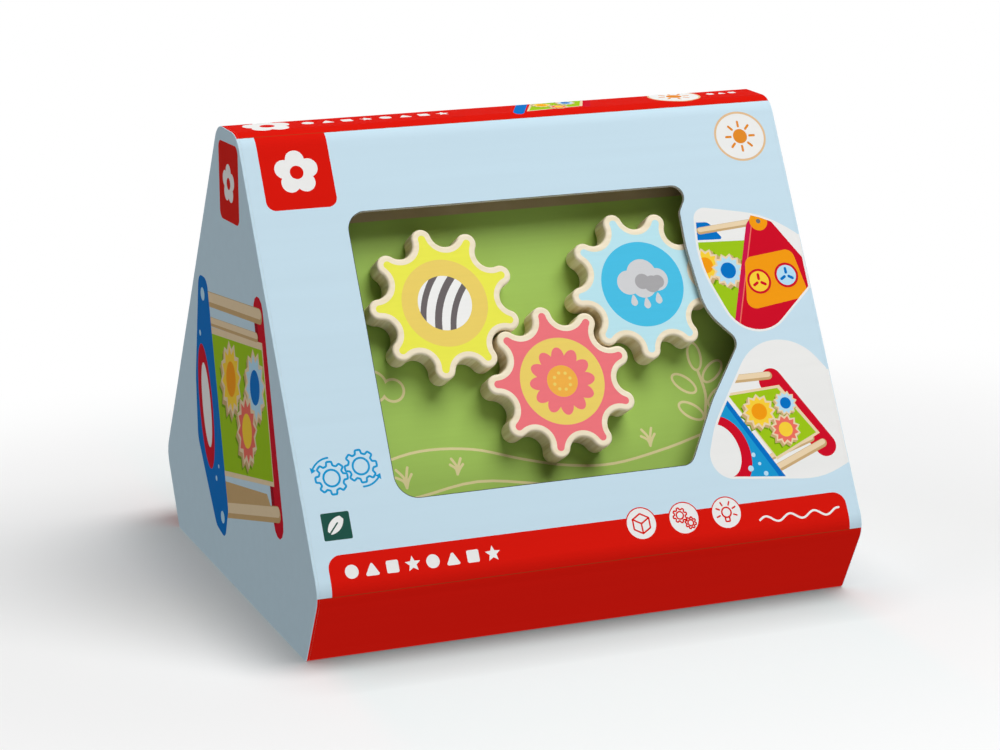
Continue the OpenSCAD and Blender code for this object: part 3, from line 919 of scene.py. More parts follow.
@dataclass
class Plate:
    """A flat board with rounded rims, built from its outline at several insets.

    Its back and its edge have the front's finish unless they are given one, and rims holds the
    radii of the front rim and the back rim.
    """

    axes: Axes
    outline: Callable[[float], Outline]
    thickness: float
    front: Finish
    back: Finish | None = None
    edge: Finish | Callable[[int], Finish] | None = None
    rims: Point = (1.0, 1.0)
    front_prints: Sequence[Print] = ()
    front_recesses: Sequence[Recess] = ()
    back_recesses: Sequence[Recess] = ()
    rim_steps: int = 4
    wrapped: bool = False

    def profile(self) -> list[tuple[float, float, float, float]]:
        """Section of the rim.

        Returns:
            Inset, depth, and the normal's outward and frontal parts, from front to back.
        """
        turns = [math.pi / 2 * k / self.rim_steps for k in range(self.rim_steps + 1)]
        sines = [(math.sin(a), math.cos(a)) for a in turns]
        front, back = self.rims
        rim = [(front - front * s, front - front * c, s, c) for s, c in sines]
        return rim + [(back - back * c, self.thickness - back + back * s, c, -s) for s, c in sines]

    def edge_finish(self, ring: int, side: int) -> Finish:
        """Finish of one face of the rim.

        Args:
            ring: number of the ring before it.
            side: number of the outline's point before it.

        Returns:
            The finish.
        """
        if self.edge is None or (self.wrapped and ring < self.rim_steps):
            return self.front
        return self.edge if isinstance(self.edge, Finish) else self.edge(side)

    def build(self, piece: Piece) -> None:
        """Adds the board's faces.

        Args:
            piece: piece that gets them.
        """
        sides = [(Vector(p) - Vector(q)).normalized() for p, q in zip(self.outline(0.0), self.outline(1.0))]
        rings: list[tuple[Outline, list[int], list[Vector], float]] = []
        for inset, depth, out, up in self.profile():
            ring = self.outline(inset)
            ids = [piece.point(self.axes.at(x, y, -depth)) for x, y in ring]
            normals = [self.axes.along(s.x * out, s.y * out, up) for s in sides]
            rings.append((ring, ids, normals, depth))
        for k, (upper, lower) in enumerate(zip(rings, rings[1:])):
            for i in range(len(sides)):
                j = (i + 1) % len(sides)
                corners = ((upper, j), (upper, i), (lower, i), (lower, j))
                piece.face(
                    [ring[1][v] for ring, v in corners],
                    self.edge_finish(k, i),
                    [ring[2][v] for ring, v in corners],
                    [(ring[0][v][0], ring[3]) for ring, v in corners],
                )
        face = Cap(self.axes, self.front, self.front_prints, self.front_recesses)
        rear = Cap(self.axes, self.back or self.front, (), self.back_recesses, flipped=True)
        front_rims = face.build(piece, rings[0][0], rings[0][1], 0.0)
        back_rims = rear.build(piece, rings[-1][0], rings[-1][1], -self.thickness)
        bores = [(h, r) for h, r in zip(self.front_recesses, front_rims) if h.depth is None]
        ends = [r for h, r in zip(self.back_recesses, back_rims) if h.depth is None]
        for (hole, top), low in zip(bores, ends):
            for i in range(len(hole.outline)):
                j = (i + 1) % len(hole.outline)
                piece.face((top[i], top[j], low[j], low[i]), hole.wall or self.front)


def insets(corners: Sequence[Corner], step: float) -> Callable[[float], Outline]:
    """Outline of a rounded polygon as a function of the inset."""
    return partial(rounded, corners, step=step)


# Largest bend of a turned profile in degrees that is shaded smooth.
SMOOTH_BELOW = 40.0


def lathe(
    piece: Piece,
    axes: Axes,
    profile: Sequence[Point],
    finish: Finish,
    closed: bool = False,
    steps: int = 72,
) -> list[int]:
    """Turns a profile round the third axis.

    Args:
        piece: piece that gets the faces.
        axes: place whose third axis is the turning axis.
        profile: points as (radius, height), outside on the right of the way along it.
        finish: finish of all faces.
        closed: whether the last point joins the first.
        steps: number of facets round the axis.

    Returns:
        Numbers of the last profile point's ring.
    """
    rings: list[list[int]] = []
    for r, z in profile:
        if r < 1e-9:
            rings.append([piece.point(axes.at(0, 0, z))] * steps)
        else:
            rings.append([piece.point(axes.at(x, y, z)) for x, y in arc((0, 0), r, 0, 360, steps)[:-1]])
    count = len(profile) if closed else len(profile) - 1
    slants = []
    for k in range(count):
        (r0, z0), (r1, z1) = profile[k], profile[(k + 1) % len(profile)]
        slants.append(Vector((z1 - z0, r0 - r1)).normalized())
    for k, slant in enumerate(slants):
        ends = []
        for other in (k - 1, k + 1):
            beside = slants[other % count] if closed or 0 <= other < count else slant
            smooth = slant.dot(beside) > math.cos(math.radians(SMOOTH_BELOW))
            ends.append((slant + beside).normalized() if smooth else slant)
        upper, lower = rings[k], rings[(k + 1) % len(profile)]
        for s in range(steps):
            t = (s + 1) % steps
            ids, normals = [], []
            for ring, end, spot in ((upper, 0, s), (upper, 0, t), (lower, 1, t), (lower, 1, s)):
                if ring[spot] not in ids:
                    a = 2 * math.pi * spot / steps
                    out, up = ends[end]
                    ids.append(ring[spot])
                    normals.append(axes.along(out * math.cos(a), out * math.sin(a), up))
            piece.face(ids, finish, normals)
    return rings[-1]


@dataclass(frozen=True)
class Peg:
    """A turned peg whose shank is glued into a moving piece, with its head behind the board."""

    reach: float
    head_r: float
    head_t: float
    head_round: float
    shank_r: float
    depth: float
    chamfer: float

    def build(self, piece: Piece, axes: Axes, finish: Finish) -> None:
        """Adds the peg's faces.

        Args:
            piece: piece that gets them.
            axes: place on the back of what the peg carries.
            finish: finish of the peg.
        """
        r, low, rim, c = self.shank_r, -self.reach, self.head_round, self.chamfer
        head = arc((self.head_r - rim, low - self.head_t + rim), rim, -90, 90, 8)
        shank = [(self.head_r, low), (r, low), (r, self.depth - c), (r - c, self.depth)]
        lathe(piece, axes, [(0, low - self.head_t)] + head + shank + [(0, self.depth)], finish)


@dataclass
class SubAssembly:
    """Pieces that are built together and dressed together."""

    pieces: list[Piece] = field(default_factory=list, kw_only=True)

    def new(self, name: str, node: str, slot: Slot, body: Body = Body.TOY) -> Piece:
        """Starts a piece of this sub-assembly and returns it."""
        self.pieces.append(Piece(name, node, slot, body))
        return self.pieces[-1]

    def build(self) -> None:
        """Builds the meshes of the sub-assembly."""
        raise NotImplementedError

    def dress(self) -> None:
        """Makes each mesh with its finishes and puts it on its body."""
        for piece in self.pieces:
            made = piece.to_object()
            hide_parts(piece.node)
            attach(made, piece.body.value)
            log.info("%s: %d faces on %s", piece.name, len(piece.faces), piece.body.value)


# Drawn prints


def disc(centre: Point, radius: float, ink: Finish, steps: int = 48) -> Print:
    """Print of a disc."""
    return Print(circle(centre, radius, steps), ink)


def dots(spots: Sequence[Corner], ink: Finish, steps: int = 48) -> list[Print]:
    """Prints of discs, each given as (x, y, radius)."""
    return [disc((x, y), radius, ink, steps) for x, y, radius in spots]


def patch(corners: Sequence[Corner], ink: Finish) -> Print:
    """Print of a polygon with rounded corners."""
    return Print(rounded(corners), ink)


def line(points: Sequence[Point], width: float, ink: Finish) -> Print:
    """Print of a drawn line with round ends."""
    return Print(stroke(points, width), ink)


def bounded(prints: Sequence[Print], ground: Print) -> list[Print]:
    """Copies prints so that they show only within another print."""
    return [Print(p.outline, p.finish, ground) for p in prints]


def spokes(centre: Point, inner: float, outer: float, start: float, count: int) -> list[Outline]:
    """Short lines that point away from a centre, evenly all round."""
    turns = [start + 360 * i / count for i in range(count)]
    return [[polar(centre, inner, a), polar(centre, outer, a)] for a in turns]


def flower(centre: Point, size: float, petals: Finish, heart: Finish) -> list[Print]:
    """Prints of a plain five-petalled flower."""
    out = [disc(p, size * 0.42, petals, 24) for p in arc(centre, size * 0.56, 90, 360, 5)[:-1]]
    return out + [disc(centre, size * 0.3, heart, 24)]


def sunburst(centre: Point, size: float, ink: Finish) -> list[Print]:
    """Prints of a plain sun: a disc with eight short rays."""
    shine = spokes(centre, size * 0.68, size, 0, 8)
    return [disc(centre, size * 0.5, ink, steps=32)] + [line(ray, size * 0.16, ink) for ray in shine]


def badge(centre: Point, half_w: float, half_h: float, rim: float, size: float) -> list[Print]:
    """Prints of a white badge with a tan rim and a sun of some size."""
    ground = Print(oval(centre, half_w - rim, half_h - rim), WHITE)
    return [Print(oval(centre, half_w, half_h), TAN), ground] + sunburst(centre, size, AMBER)


def picture_gear(
    centre: Point, size: float, inks: tuple[Finish, Finish], turn: float, lean: float = -0.13
) -> list[Print]:
    """Prints of a small pictured gear with its wooden side and its shadow.

    Args:
        centre: centre of the gear.
        size: radius over the teeth.
        inks: inks of the gear's face and of the disc in its middle.
        turn: turn of the gear in degrees.
        lean: way to the right of the side that shows, as a share of the size.

    Returns:
        The prints from the bottom up.
    """
    teeth = 12
    out = []
    for share, ink in ((1.6, MOSS), (1.0, BISCUIT), (0.5, BISCUIT), (0.0, BEIGE)):
        spot = (centre[0] + share * lean * size, centre[1] - share * 0.12 * size)
        out.append(Print(star(spot, size, size * 0.79, teeth, turn), ink))
    out.append(Print(star(centre, size * 0.86, size * 0.64, teeth, turn), inks[0]))
    return out + [disc(centre, size * 0.46, inks[1], 32)]


def picture_dowel(start: Point, end: Point, width: float) -> list[Print]:
    """Prints of a pictured dowel: its shaded side and the lit strip along it."""
    lit = [(x, y + width * 0.14) for x, y in (start, end)]
    return [line([start, end], width, BISCUIT), line(lit, width * 0.64, BEIGE)]


def turn_arrow(centre: Point, radius: float, start: float, sweep: float, ink: Finish) -> list[Print]:
    """Prints of a bent arrow.

    Args:
        centre: centre of its bend.
        radius: radius of its bend.
        start: angle of its tail in degrees.
        sweep: turn from there to its head in degrees.
        ink: its ink.

    Returns:
        Its line and its head.
    """
    end, wing = start + sweep, 1.8
    tip = polar(centre, radius, end + math.copysign(14, sweep))
    outer, inner = polar(centre, radius + wing, end), polar(centre, radius - wing, end)
    head = [outer, tip, inner] if sweep > 0 else [inner, tip, outer]
    return [line(arc(centre, radius, start, sweep, 12), 1.0, ink), Print(head, ink)]


def line_sign(corners: Sequence[Corner], width: float, ink: Finish, ground: Finish) -> list[Print]:
    """Prints of a closed shape drawn in one line width."""
    shape = [(x, y, max(r, 0.6 * width)) for x, y, r in corners]
    return [Print(rounded(shape, -width / 2, 20.0), ink), Print(rounded(shape, width / 2, 20.0), ground)]


def line_ring(centre: Point, radius: float, width: float, ink: Finish, ground: Finish) -> list[Print]:
    """Prints of a circle drawn in one line width."""
    return [disc(centre, radius + width / 2, ink), disc(centre, radius - width / 2, ground)]


def line_gear(
    centre: Point, size: float, turn: float, ink: Finish, ground: Finish, width: float = 1.1
) -> list[Print]:
    """Prints of a gear sign of some size over its teeth, drawn in one line width."""
    teeth = [(x, y, 0.0) for x, y in cog(centre, size, size * 0.77, 8, turn)]
    return line_sign(teeth, width, ink, ground) + line_ring(centre, size * 0.5, width, ink, ground)


def block_row(start: Point, pitch: float, count: int, size: float) -> list[Print]:
    """Prints of a row of toy blocks: discs, wedges, cubes and stars.

    Args:
        start: middle of the first block.
        pitch: distance from one block to the next.
        count: number of blocks.
        size: half the height of a block.

    Returns:
        The prints in order.
    """
    shapes = (
        circle((0, 0), 1.0, 32),
        rounded([(-1.14, -0.91, 0.23), (1.14, -0.91, 0.23), (0, 1.11, 0.23)]),
        rounded(block(-0.91, -0.91, 0.91, 0.91, 0.26)),
        star((0, 0), 1.2, 0.54, 5),
    )
    spots = [(start[0] + pitch * i, start[1]) for i in range(count)]
    return [Print(moved(shapes[i % len(shapes)], p, 0.0, size), WHITE) for i, p in enumerate(spots)]


def spinner(centre: Point, size: float, ground: Finish, blades: Finish) -> list[Print]:
    """Prints of a plain disc with three blades round its middle."""
    arms = spokes(centre, size * 0.26, size * 0.66, 90, 3)
    return [disc(centre, size, ground)] + [line(arm, size * 0.28, blades) for arm in arms]


# Section of the carton


@dataclass
class Fold:
    """One bent corner of the carton's section."""

    start: float
    end: float
    centre: Vector
    radius: float
    angle: float
    turn: float


class SectionPath:
    """The carton's outer section as a path, measured along the board."""

    def __init__(self, corners: Sequence[Corner]) -> None:
        """Lays out the folds.

        Args:
            corners: corners as (depth, height, fold radius), anticlockwise.
        """
        self.folds: list[Fold] = []
        s, last = 0.0, None
        for i, (_, _, radius) in enumerate(corners):
            start, centre, turn = fillet(corners, i)
            angle = math.atan2(start.y - centre.y, start.x - centre.x)
            if last is not None:
                s += (start - last).length
            self.folds.append(Fold(s, s + radius * turn, centre, radius, angle, turn))
            s += radius * turn
            last = centre + radius * Vector((math.cos(angle + turn), math.sin(angle + turn)))
        first = self.folds[0]
        home = first.centre + first.radius * Vector((math.cos(first.angle), math.sin(first.angle)))
        self.length = s + (home - last).length

    def at(self, s: float, depth: float) -> tuple[Vector, Vector]:
        """Point under the outer face and the outward normal, as (depth, height) vectors.

        Args:
            s: distance along the outer face.
            depth: distance below it.

        Returns:
            The point and the normal.
        """
        s = min(max(s, 0.0), self.length)
        fold = [f for f in self.folds if f.start <= s + 1e-6][-1]
        share = min((s - fold.start) / (fold.end - fold.start), 1.0)
        a = fold.angle + fold.turn * share
        normal = Vector((math.cos(a), math.sin(a)))
        point = fold.centre + normal * (fold.radius - depth)
        if s > fold.end:
            point = point + Vector((-normal.y, normal.x)) * (s - fold.end)
        return point, normal

    def bends(self, start: float, end: float) -> list[float]:
        """Places where the path turns, in steps of at most 6 degrees.

        Args:
            start: distance along the board before the first.
            end: distance along the board after the last.

        Returns:
            Their distances along the board.
        """
        out = []
        for fold in self.folds:
            steps = math.ceil(math.degrees(fold.turn) / 6.0)
            out += [fold.start + (fold.end - fold.start) * k / steps for k in range(steps + 1)]
        return [s for s in out if start + 1e-3 < s < end - 1e-3]


FRONT_BASE, BACK_BASE, BACK_CREASE, BACK_TOP, FRONT_TOP, FRONT_CREASE = range(6)


@dataclass
class Carton(SubAssembly):
    """Printed sleeve of fine corrugated board, with its window and its right end.

    band and tab are the left, right and inner edge of the red fields, bleeds the stretches of the
    right rim that the pictures run over, and the two shares where the ink changes in a fold.
    """

    left: float = -148.36
    right: float = 148.38
    end_face: float = 150.0
    board_t: float = 1.6
    rim_r: float = 0.4
    section: tuple[Corner, ...] = (
        (-115.0, 0.0, 3.2), (115.0, 0.0, 3.2), (136.0, 40.0, 14.0),
        (17.0, 248.0, 14.0), (-17.0, 248.0, 14.0), (-136.0, 40.0, 14.0),
    )
    window: tuple[Corner, ...] = (
        (-100.0, 44.0, 12.0), (60.5, 44.0, 8.0), (79.0, 76.0, 60.0),
        (101.5, 106.5, 6.5), (86.0, 124.0, 30.0), (82.5, 160.0, 60.0),
        (83.0, 179.5, 5.0), (92.0, 194.0, 6.0), (-100.0, 194.0, 10.0),
    )
    crease_share: float = 0.435
    top_share: float = 0.536
    band: Corner = (-142.0, 142.8, 20.2)
    tab: Corner = (-140.6, -103.2, 198.0)
    upper_lobe: tuple[Corner, ...] = (
        (107.6, 96.6, 20.4), (165.0, 144.4, 3.0), (165.0, 149.5, 3.0),
        (132.3, 174.0, 60.0), (91.2, 181.8, 6.8), (87.2, 150.3, 60.0),
    )
    lower_lobe: tuple[Corner, ...] = (
        (66.4, 35.4, 12.3), (132.3, 28.2, 45.0), (165.0, 41.3, 3.0),
        (165.0, 63.6, 3.0), (122.0, 124.2, 27.0), (77.8, 63.7, 60.0),
    )
    bleeds: tuple[Point, ...] = ((34.9, 86.2), (131.1, 161.5))
    lobe_border: float = 1.2
    score_w: float = 0.35
    print_half: float = 160.0

    def __post_init__(self) -> None:
        """Lays out the section and the lines where the ink changes."""
        self.path = SectionPath(self.section)
        folds = self.path.folds
        front, back = folds[FRONT_CREASE], folds[BACK_CREASE]
        self.front_zero = -(front.start + front.radius * math.tan(front.turn / 2))
        self.back_zero = back.end - back.radius * math.tan(back.turn / 2)
        self.top_middle = (folds[BACK_TOP].end + folds[FRONT_TOP].start) / 2
        back_low = self.part_of_fold(BACK_CREASE, self.crease_share)
        back_high = self.part_of_fold(BACK_TOP, 1 - self.top_share)
        front_high = self.part_of_fold(FRONT_TOP, self.top_share)
        front_low = self.part_of_fold(FRONT_CREASE, 1 - self.crease_share)
        self.blue_spans = ((back_low, back_high), (front_high, front_low))

    def part_of_fold(self, corner: int, share: float) -> float:
        """Distance along the board of a place part of the way round a fold."""
        fold = self.path.folds[corner]
        return fold.start + (fold.end - fold.start) * share

    @staticmethod
    def shifted(prints: Sequence[Print], place: Callable[[Point], Point]) -> list[Print]:
        """Copies prints with each point moved, and keeps what shows within what.

        Args:
            prints: prints to copy, each after what it shows within.
            place: function that moves a point.

        Returns:
            The copies in order.
        """
        copies: dict[int, Print] = {}
        for p in prints:
            within = copies[id(p.within)] if p.within is not None else None
            copies[id(p)] = Print([place(q) for q in p.outline], p.finish, within)
        return list(copies.values())

    def bar(self, low: float, high: float, ink: Finish) -> Print:
        """Print right across the developed board, past both ends."""
        w = self.print_half
        return Print([(-w, low), (w, low), (w, high), (-w, high)], ink)

    def score_prints(self) -> list[Print]:
        """Lines where the scored folds have cracked the ink.

        Returns:
            The prints from the bottom up.
        """
        half = self.score_w / 2
        places = [s + side * half for a, b in self.blue_spans for s, side in ((a, -1), (b, 1))]
        return [self.bar(-s - half, -s + half, SCORE) for s in places]

    def red_prints(self) -> list[Print]:
        """Red band, red tab and flower that the front and the back share.

        Returns:
            The prints from the bottom up.
        """
        (x0, x1, high), (t0, t1, low) = self.band, self.tab
        band = [(x0, -12, 1), (x1, -12, 1), (x1, high, 7), (x0, high, 7)]
        tab = [(t0, low, 5), (t1, low, 5), (t1, 250, 1), (t0, 250, 1)]
        return [patch(band, RED), patch(tab, RED)] + flower(((t0 + t1) / 2, 217.5), 12.0, WHITE, RED)

    def front_prints(self) -> list[Print]:
        """Prints of the front in its own measure.

        Returns:
            The prints from the bottom up.
        """
        # The thin dark ring round the window is painted shade along its cut edge.
        out = [Print(rounded(self.window, -self.score_w, 4.0), WINDOW_EDGE_SHADE)] + self.red_prints()
        out += badge((127.5, 218.6), 15.1, 14.0, 1.2, 8.2)
        leaf = arc((-130.9, 31.7), 8.0, 95, 80, 10) + arc((-138.0, 38.6), 8.0, -85, 80, 10)
        out += [patch(block(-141.4, 27.7, -126.7, 41.6, 0.8), FOREST), Print(leaf, WHITE)]
        out.append(line([(-139.3, 29.6), (-133.4, 36.2)], 0.8, FOREST))
        left, right = (-132.2, 58.8), (-116.2, 63.1)
        out += line_gear(left, 8.4, 1, SKY, PALE_BLUE) + line_gear(right, 8.4, 3, SKY, PALE_BLUE)
        out += turn_arrow(left, 10.4, 92, 56, SKY) + turn_arrow(right, 10.4, -92, 52, SKY)
        return out + self.band_prints() + self.upper_picture() + self.lower_picture()

    def band_prints(self) -> list[Print]:
        """White signs on the red band: a row of toy blocks, a wave and three discs.

        Returns:
            The prints from the bottom up.
        """
        out = block_row((-130.5, 11.2), 10.6, 8, 3.5)
        wave = [(92 + 2.0 * i, 10.5 + 1.6 * math.sin(i * 0.9)) for i in range(24)]
        out.append(line(curve(wave, closed=False, steps=3), 1.1, WHITE))
        cube, gears, bulb = ((u, 16.6) for u in (26.1, 50.0, 74.1))
        for spot in (cube, gears, bulb):
            out += [disc(spot, 8.6, RED, steps=64), disc(spot, 8.0, WHITE, steps=64)]
        hexagon = arc(cube, 5.2, 30, 360, 6)[:-1]
        line_w = 0.85
        out += line_sign([(x, y, 0.0) for x, y in hexagon], line_w, RED, WHITE)
        out += [line([cube, tip], line_w, RED) for tip in hexagon[::2]]
        out += line_gear((gears[0] - 2.0, gears[1] + 1.7), 3.9, 10, RED, WHITE, 0.8)
        out += line_gear((gears[0] + 3.2, gears[1] - 2.8), 3.1, 30, RED, WHITE, 0.8)
        u, w = bulb
        out += line_sign(block(u - 1.2, w - 4.6, u + 1.2, w, 0.5), line_w, RED, WHITE)
        glass = (u, w + 0.2)
        out += line_ring(glass, 2.6, line_w, RED, WHITE)
        rays = [[polar(glass, r, a) for r in (4.1, 5.9)] for a in (-20, 25, 65, 115, 155, 200)]
        return out + [line(ray, line_w, RED) for ray in rays]

    def lobe(self, corners: Sequence[Corner], picture: Sequence[Print]) -> list[Print]:
        """Prints of a white-bordered lobe and of the picture that it bounds."""
        ground = Print(rounded(corners, self.lobe_border), WHITE)
        return [patch(corners, WHITE), ground] + bounded(picture, ground)

    def upper_picture(self) -> list[Print]:
        """Picture in the upper lobe: a red end board before a green panel with gears.

        Returns:
            The prints from the bottom up.
        """
        out = [Print([(84, 105), (112, 105), (121, 160.5), (84, 162)], LEAF)]
        out += picture_gear((91.5, 149), 9.5, (SUN, ORANGE), 4, 0.16)
        out += picture_gear((104.0, 145), 9.6, (MIST, OCEAN), 14, 0.16)
        out.append(patch([(84, 163.2, 1), (105, 162.4, 1), (98, 172.5, 4), (84, 173, 1)], OCEAN))
        out += picture_dowel((92.5, 168.0), (123, 170.2), 3.9)
        for shift, ink in ((0.0, ROSE), (2.9, CORAL), (3.6, CRIMSON)):
            out.append(patch([(97 + shift, 104, 5), (168, 118, 5), (124 + shift, 181, 7)], ink))
        button = (127.4, 170.5)
        out += [disc(button, 5.2, ORANGE), disc(button, 1.3, PEBBLE, 24)]
        out.append(patch([(110, 122, 5), (148, 127, 5), (143, 154, 5), (115, 151, 5)], ORANGE))
        for spot, ground, blades in (((120.5, 137.5), SUN, CRIMSON), ((137.0, 139.5), MIST, OCEAN)):
            out += [disc(spot, 6.9, CRIMSON)] + spinner(spot, 5.6, ground, blades)
        return self.lobe(self.upper_lobe, out)

    def lower_picture(self) -> list[Print]:
        """Picture in the lower lobe: the toy from its mirror side.

        Returns:
            The prints from the bottom up.
        """
        out = [patch([(106, 84, 6), (136, 38, 6), (147, 43, 6), (117, 93, 6)], CRIMSON)]
        out += picture_dowel((76, 86.2), (114, 86.2), 4.4)
        out += picture_dowel((98, 40.5), (131, 50), 3.4)
        out += picture_dowel((100, 33.5), (137, 47), 4.6)
        out.append(Print([(88, 79), (119, 80.5), (136.5, 52.5), (109, 41)], BEIGE))
        out.append(Print([(89, 77.6), (117.6, 79), (134.4, 53), (109, 42.6)], LEAF))
        out += picture_gear((120.5, 70.5), 6.8, (MIST, OCEAN), 9)
        out += picture_gear((104.5, 67.5), 9.6, (SUN, ORANGE), 0)
        out += picture_gear((117.5, 56.5), 8.6, (CORAL, SUN), 11)
        out.append(Print([(60, 98), (85.5, 79.5), (116, 24), (60, 24)], OCEAN))
        out.append(Print([(60, 98), (83, 79), (112.5, 24), (60, 24)], SKY))
        out.append(Print(oval((80, 48), 14.5, 20, 12), CRIMSON))
        out.append(Print(oval((79, 49), 9.8, 14.5, 12), WHITE))
        spots = ((96, 45, 1.2), (98.5, 40, 0.9), (93, 38, 1.6), (101, 34.5, 1.3))
        return self.lobe(self.lower_lobe, out + dots(spots, MIST, 20))

    def top_prints(self) -> list[Print]:
        """Prints of the narrow top in its own measure: signs, a small picture and a badge.

        Returns:
            The prints from the bottom up.
        """
        toy = [
            Print([(12, -9), (40, -5.5), (47, 10.5), (21, 9)], BEIGE),
            Print([(13.5, -7.8), (39, -4.6), (45.4, 9.4), (22, 8)], LEAF),
            line([(8, -9.5), (17.5, 10)], 5.0, OCEAN),
            line([(41.5, -6.5), (49, 11)], 3.4, CRIMSON),
        ]
        toy += picture_gear((24, 3.2), 4.6, (SUN, ORANGE), 6.7)
        toy += picture_gear((36, 4.6), 4.6, (MIST, OCEAN), 16.3)
        toy += picture_gear((29.6, -3.2), 4.4, (CORAL, SUN), 11.2)
        out = flower((-128, 1), 13.0, WHITE, RED) + block_row((-106, 1.5), 10.6, 8, 3.2)
        out += [Print(moved(p.outline, (-3.0, 1.4), 0.0, 1.2), p.finish) for p in toy]
        return out + badge((102.3, 3), 14.5, 14.5, 1.1, 8.4) + block_row((124, 3), 6.5, 3, 2.2)

    def back_prints(self) -> list[Print]:
        """Prints of the back in its own measure: band, tab and one large picture card.

        Returns:
            The prints from the bottom up.
        """
        card = patch(block(-109.5, 46.5, 109.5, 185.5, 11.5), MIST)
        out = []
        far = [(-125, 166), (-70, 160), (-10, 170), (60, 162), (125, 170)]
        near = [(-125, 92), (-80, 104), (-30, 98), (25, 86), (75, 92), (125, 106)]
        for hill, ink in ((far, LEAF), (near, MOSS)):
            out.append(Print(curve(hill, closed=False) + [(125, 40), (-125, 40)], ink))
        out += picture_gear((-46, 128), 27, (SUN, ORANGE), 3)
        out += picture_gear((46, 126), 27, (MIST, SKY), 8)
        out += picture_gear((0, 88), 27, (CORAL, SUN), 14)
        for u, w, petals in ((-92, 66, WHITE), (-74, 73, SUN), (74, 66, WHITE), (92, 73, SUN)):
            out += flower((u, w), 7.5, petals, ORANGE)
        ground = self.red_prints() + [patch(block(-112, 44, 112, 188, 14), WHITE), card]
        return ground + bounded(out, card) + block_row((-130.5, 11.2), 10.6, 8, 3.5)

    def end_prints(self, side: int) -> list[Print]:
        """Prints of an end in (towards its right, height): a tag and a picture of the toy.

        Args:
            side: 1 for the left end and -1 for its mirror image on the right.

        Returns:
            The prints from the bottom up.
        """
        out = [patch([(-15.3, 199.5, 4.6), (19, 201, 4.6), (19, 242, 4.6), (-15.3, 240.5, 4.6)], RED)]
        out += flower((1.4, 220), 10.5, WHITE, RED)
        out.append(line([(48, 163), (74.5, 60)], 16.5, CRIMSON))
        out.append(line([(43, 158), (68, 60)], 5, MAROON))
        out.append(Print([(-20, 55), (56, 70), (66, 62), (-18, 42)], BISCUIT))
        out.append(Print([(-38, 135.5), (53.4, 148.5), (68.6, 77.4), (-22, 57.6)], BEIGE))
        out.append(Print([(-38, 131.8), (52.6, 144.6), (67.2, 79.6), (-22, 60.4)], LEAF))
        for (u, w), inks, size in (
            ((-3.5, 115.4), (SUN, ORANGE), 22.0),
            ((39.0, 121.6), (MIST, OCEAN), 21.5),
            ((23.4, 94.4), (CORAL, SUN), 21.5),
        ):
            for p in picture_gear((0, 0), size, inks, 7):
                out.append(Print([(u + 0.85 * x, w + 0.95 * y + 0.14 * x) for x, y in p.outline], p.finish))
        out += picture_dowel((-38, 138.3), (44, 149.2), 5.0)
        out += picture_dowel((-44, 149.6), (50, 161.4), 8.2)
        out += picture_dowel((-18, 39.5), (74, 64.4), 8.6)
        foot = [(-70, 66, 12), (-38, 25, 8), (-22, 22, 6), (-15, 40, 8)]
        out.append(patch(foot + [(-44, 160, 7), (-60, 160, 7), (-71, 100, 30)], OCEAN))
        out += [Print(oval((-52, 88), 13, 34, 11), CRIMSON), Print(oval((-51, 89), 8, 23, 11), WHITE)]
        spots = ((-53, 150, 3.6), (-26, 33, 3.4), (-60, 127, 1.6), (-36, 52, 1.5), (-31, 60, 1.1))
        out += dots(spots, MIST, steps=28)
        return out if side > 0 else self.shifted(out, lambda p: (-p[0], p[1]))

    def strip(
        self, piece: Piece, start: float, end: float, prints: Sequence[Print], hole: Sequence[Point]
    ) -> None:
        """Builds one stretch of the folded board.

        Args:
            piece: piece that gets the faces.
            start: first distance along the board.
            end: last distance along the board.
            prints: prints on the developed board.
            hole: outline of a window in it, or none.
        """
        heights = [[q[1] for q in p.outline] for p in prints]
        near = [p for p, at in zip(prints, heights) if min(at) < -start and max(at) > -end]
        bound = {id(p.within) for p in near}
        near = [p for p in prints if p in near or id(p) in bound]
        sheet = [(self.left, -end), (self.right, -end), (self.right, -start), (self.left, -start)]
        lines = [((self.left, -s), (self.right, -s)) for s in self.path.bends(start, end)]
        holes = [hole] if hole else []
        cut = cut_plane([sheet] + holes + [p.outline for p in near], lines)
        kept = [(t, h) for t, h in zip(cut.triangles, cut.inside) if not (hole and 1 in h)]
        outer: dict[int, int] = {}
        inner: dict[int, int] = {}
        normals: dict[int, Vector] = {}
        for v in sorted({v for t, _ in kept for v in t}):
            x, t = cut.points[v]
            for depth, ids in ((0.0, outer), (self.board_t, inner)):
                place, normal = self.path.at(-t, depth)
                ids[v] = piece.point(Vector((x, place.x, place.y)))
            normals[v] = Vector((0, normal.x, normal.y))
        used = {(t[i], t[(i + 1) % 3]) for t, _ in kept for i in range(3)}
        for t, holders in kept:
            shown = print_finish(RED, near, 1 + len(holes), holders)
            piece.face([outer[v] for v in t], shown, [normals[v] for v in t])
            piece.face([inner[v] for v in t[::-1]], KRAFT, [-normals[v] for v in t[::-1]])
            for i in range(3):
                p, q = t[i], t[(i + 1) % 3]
                if (q, p) not in used:
                    low, high = -cut.points[p][1], -cut.points[q][1]
                    across = [(high, 0.0), (low, 0.0), (low, self.board_t), (high, self.board_t)]
                    piece.face((outer[q], outer[p], inner[p], inner[q]), CUT_EDGE, None, across)

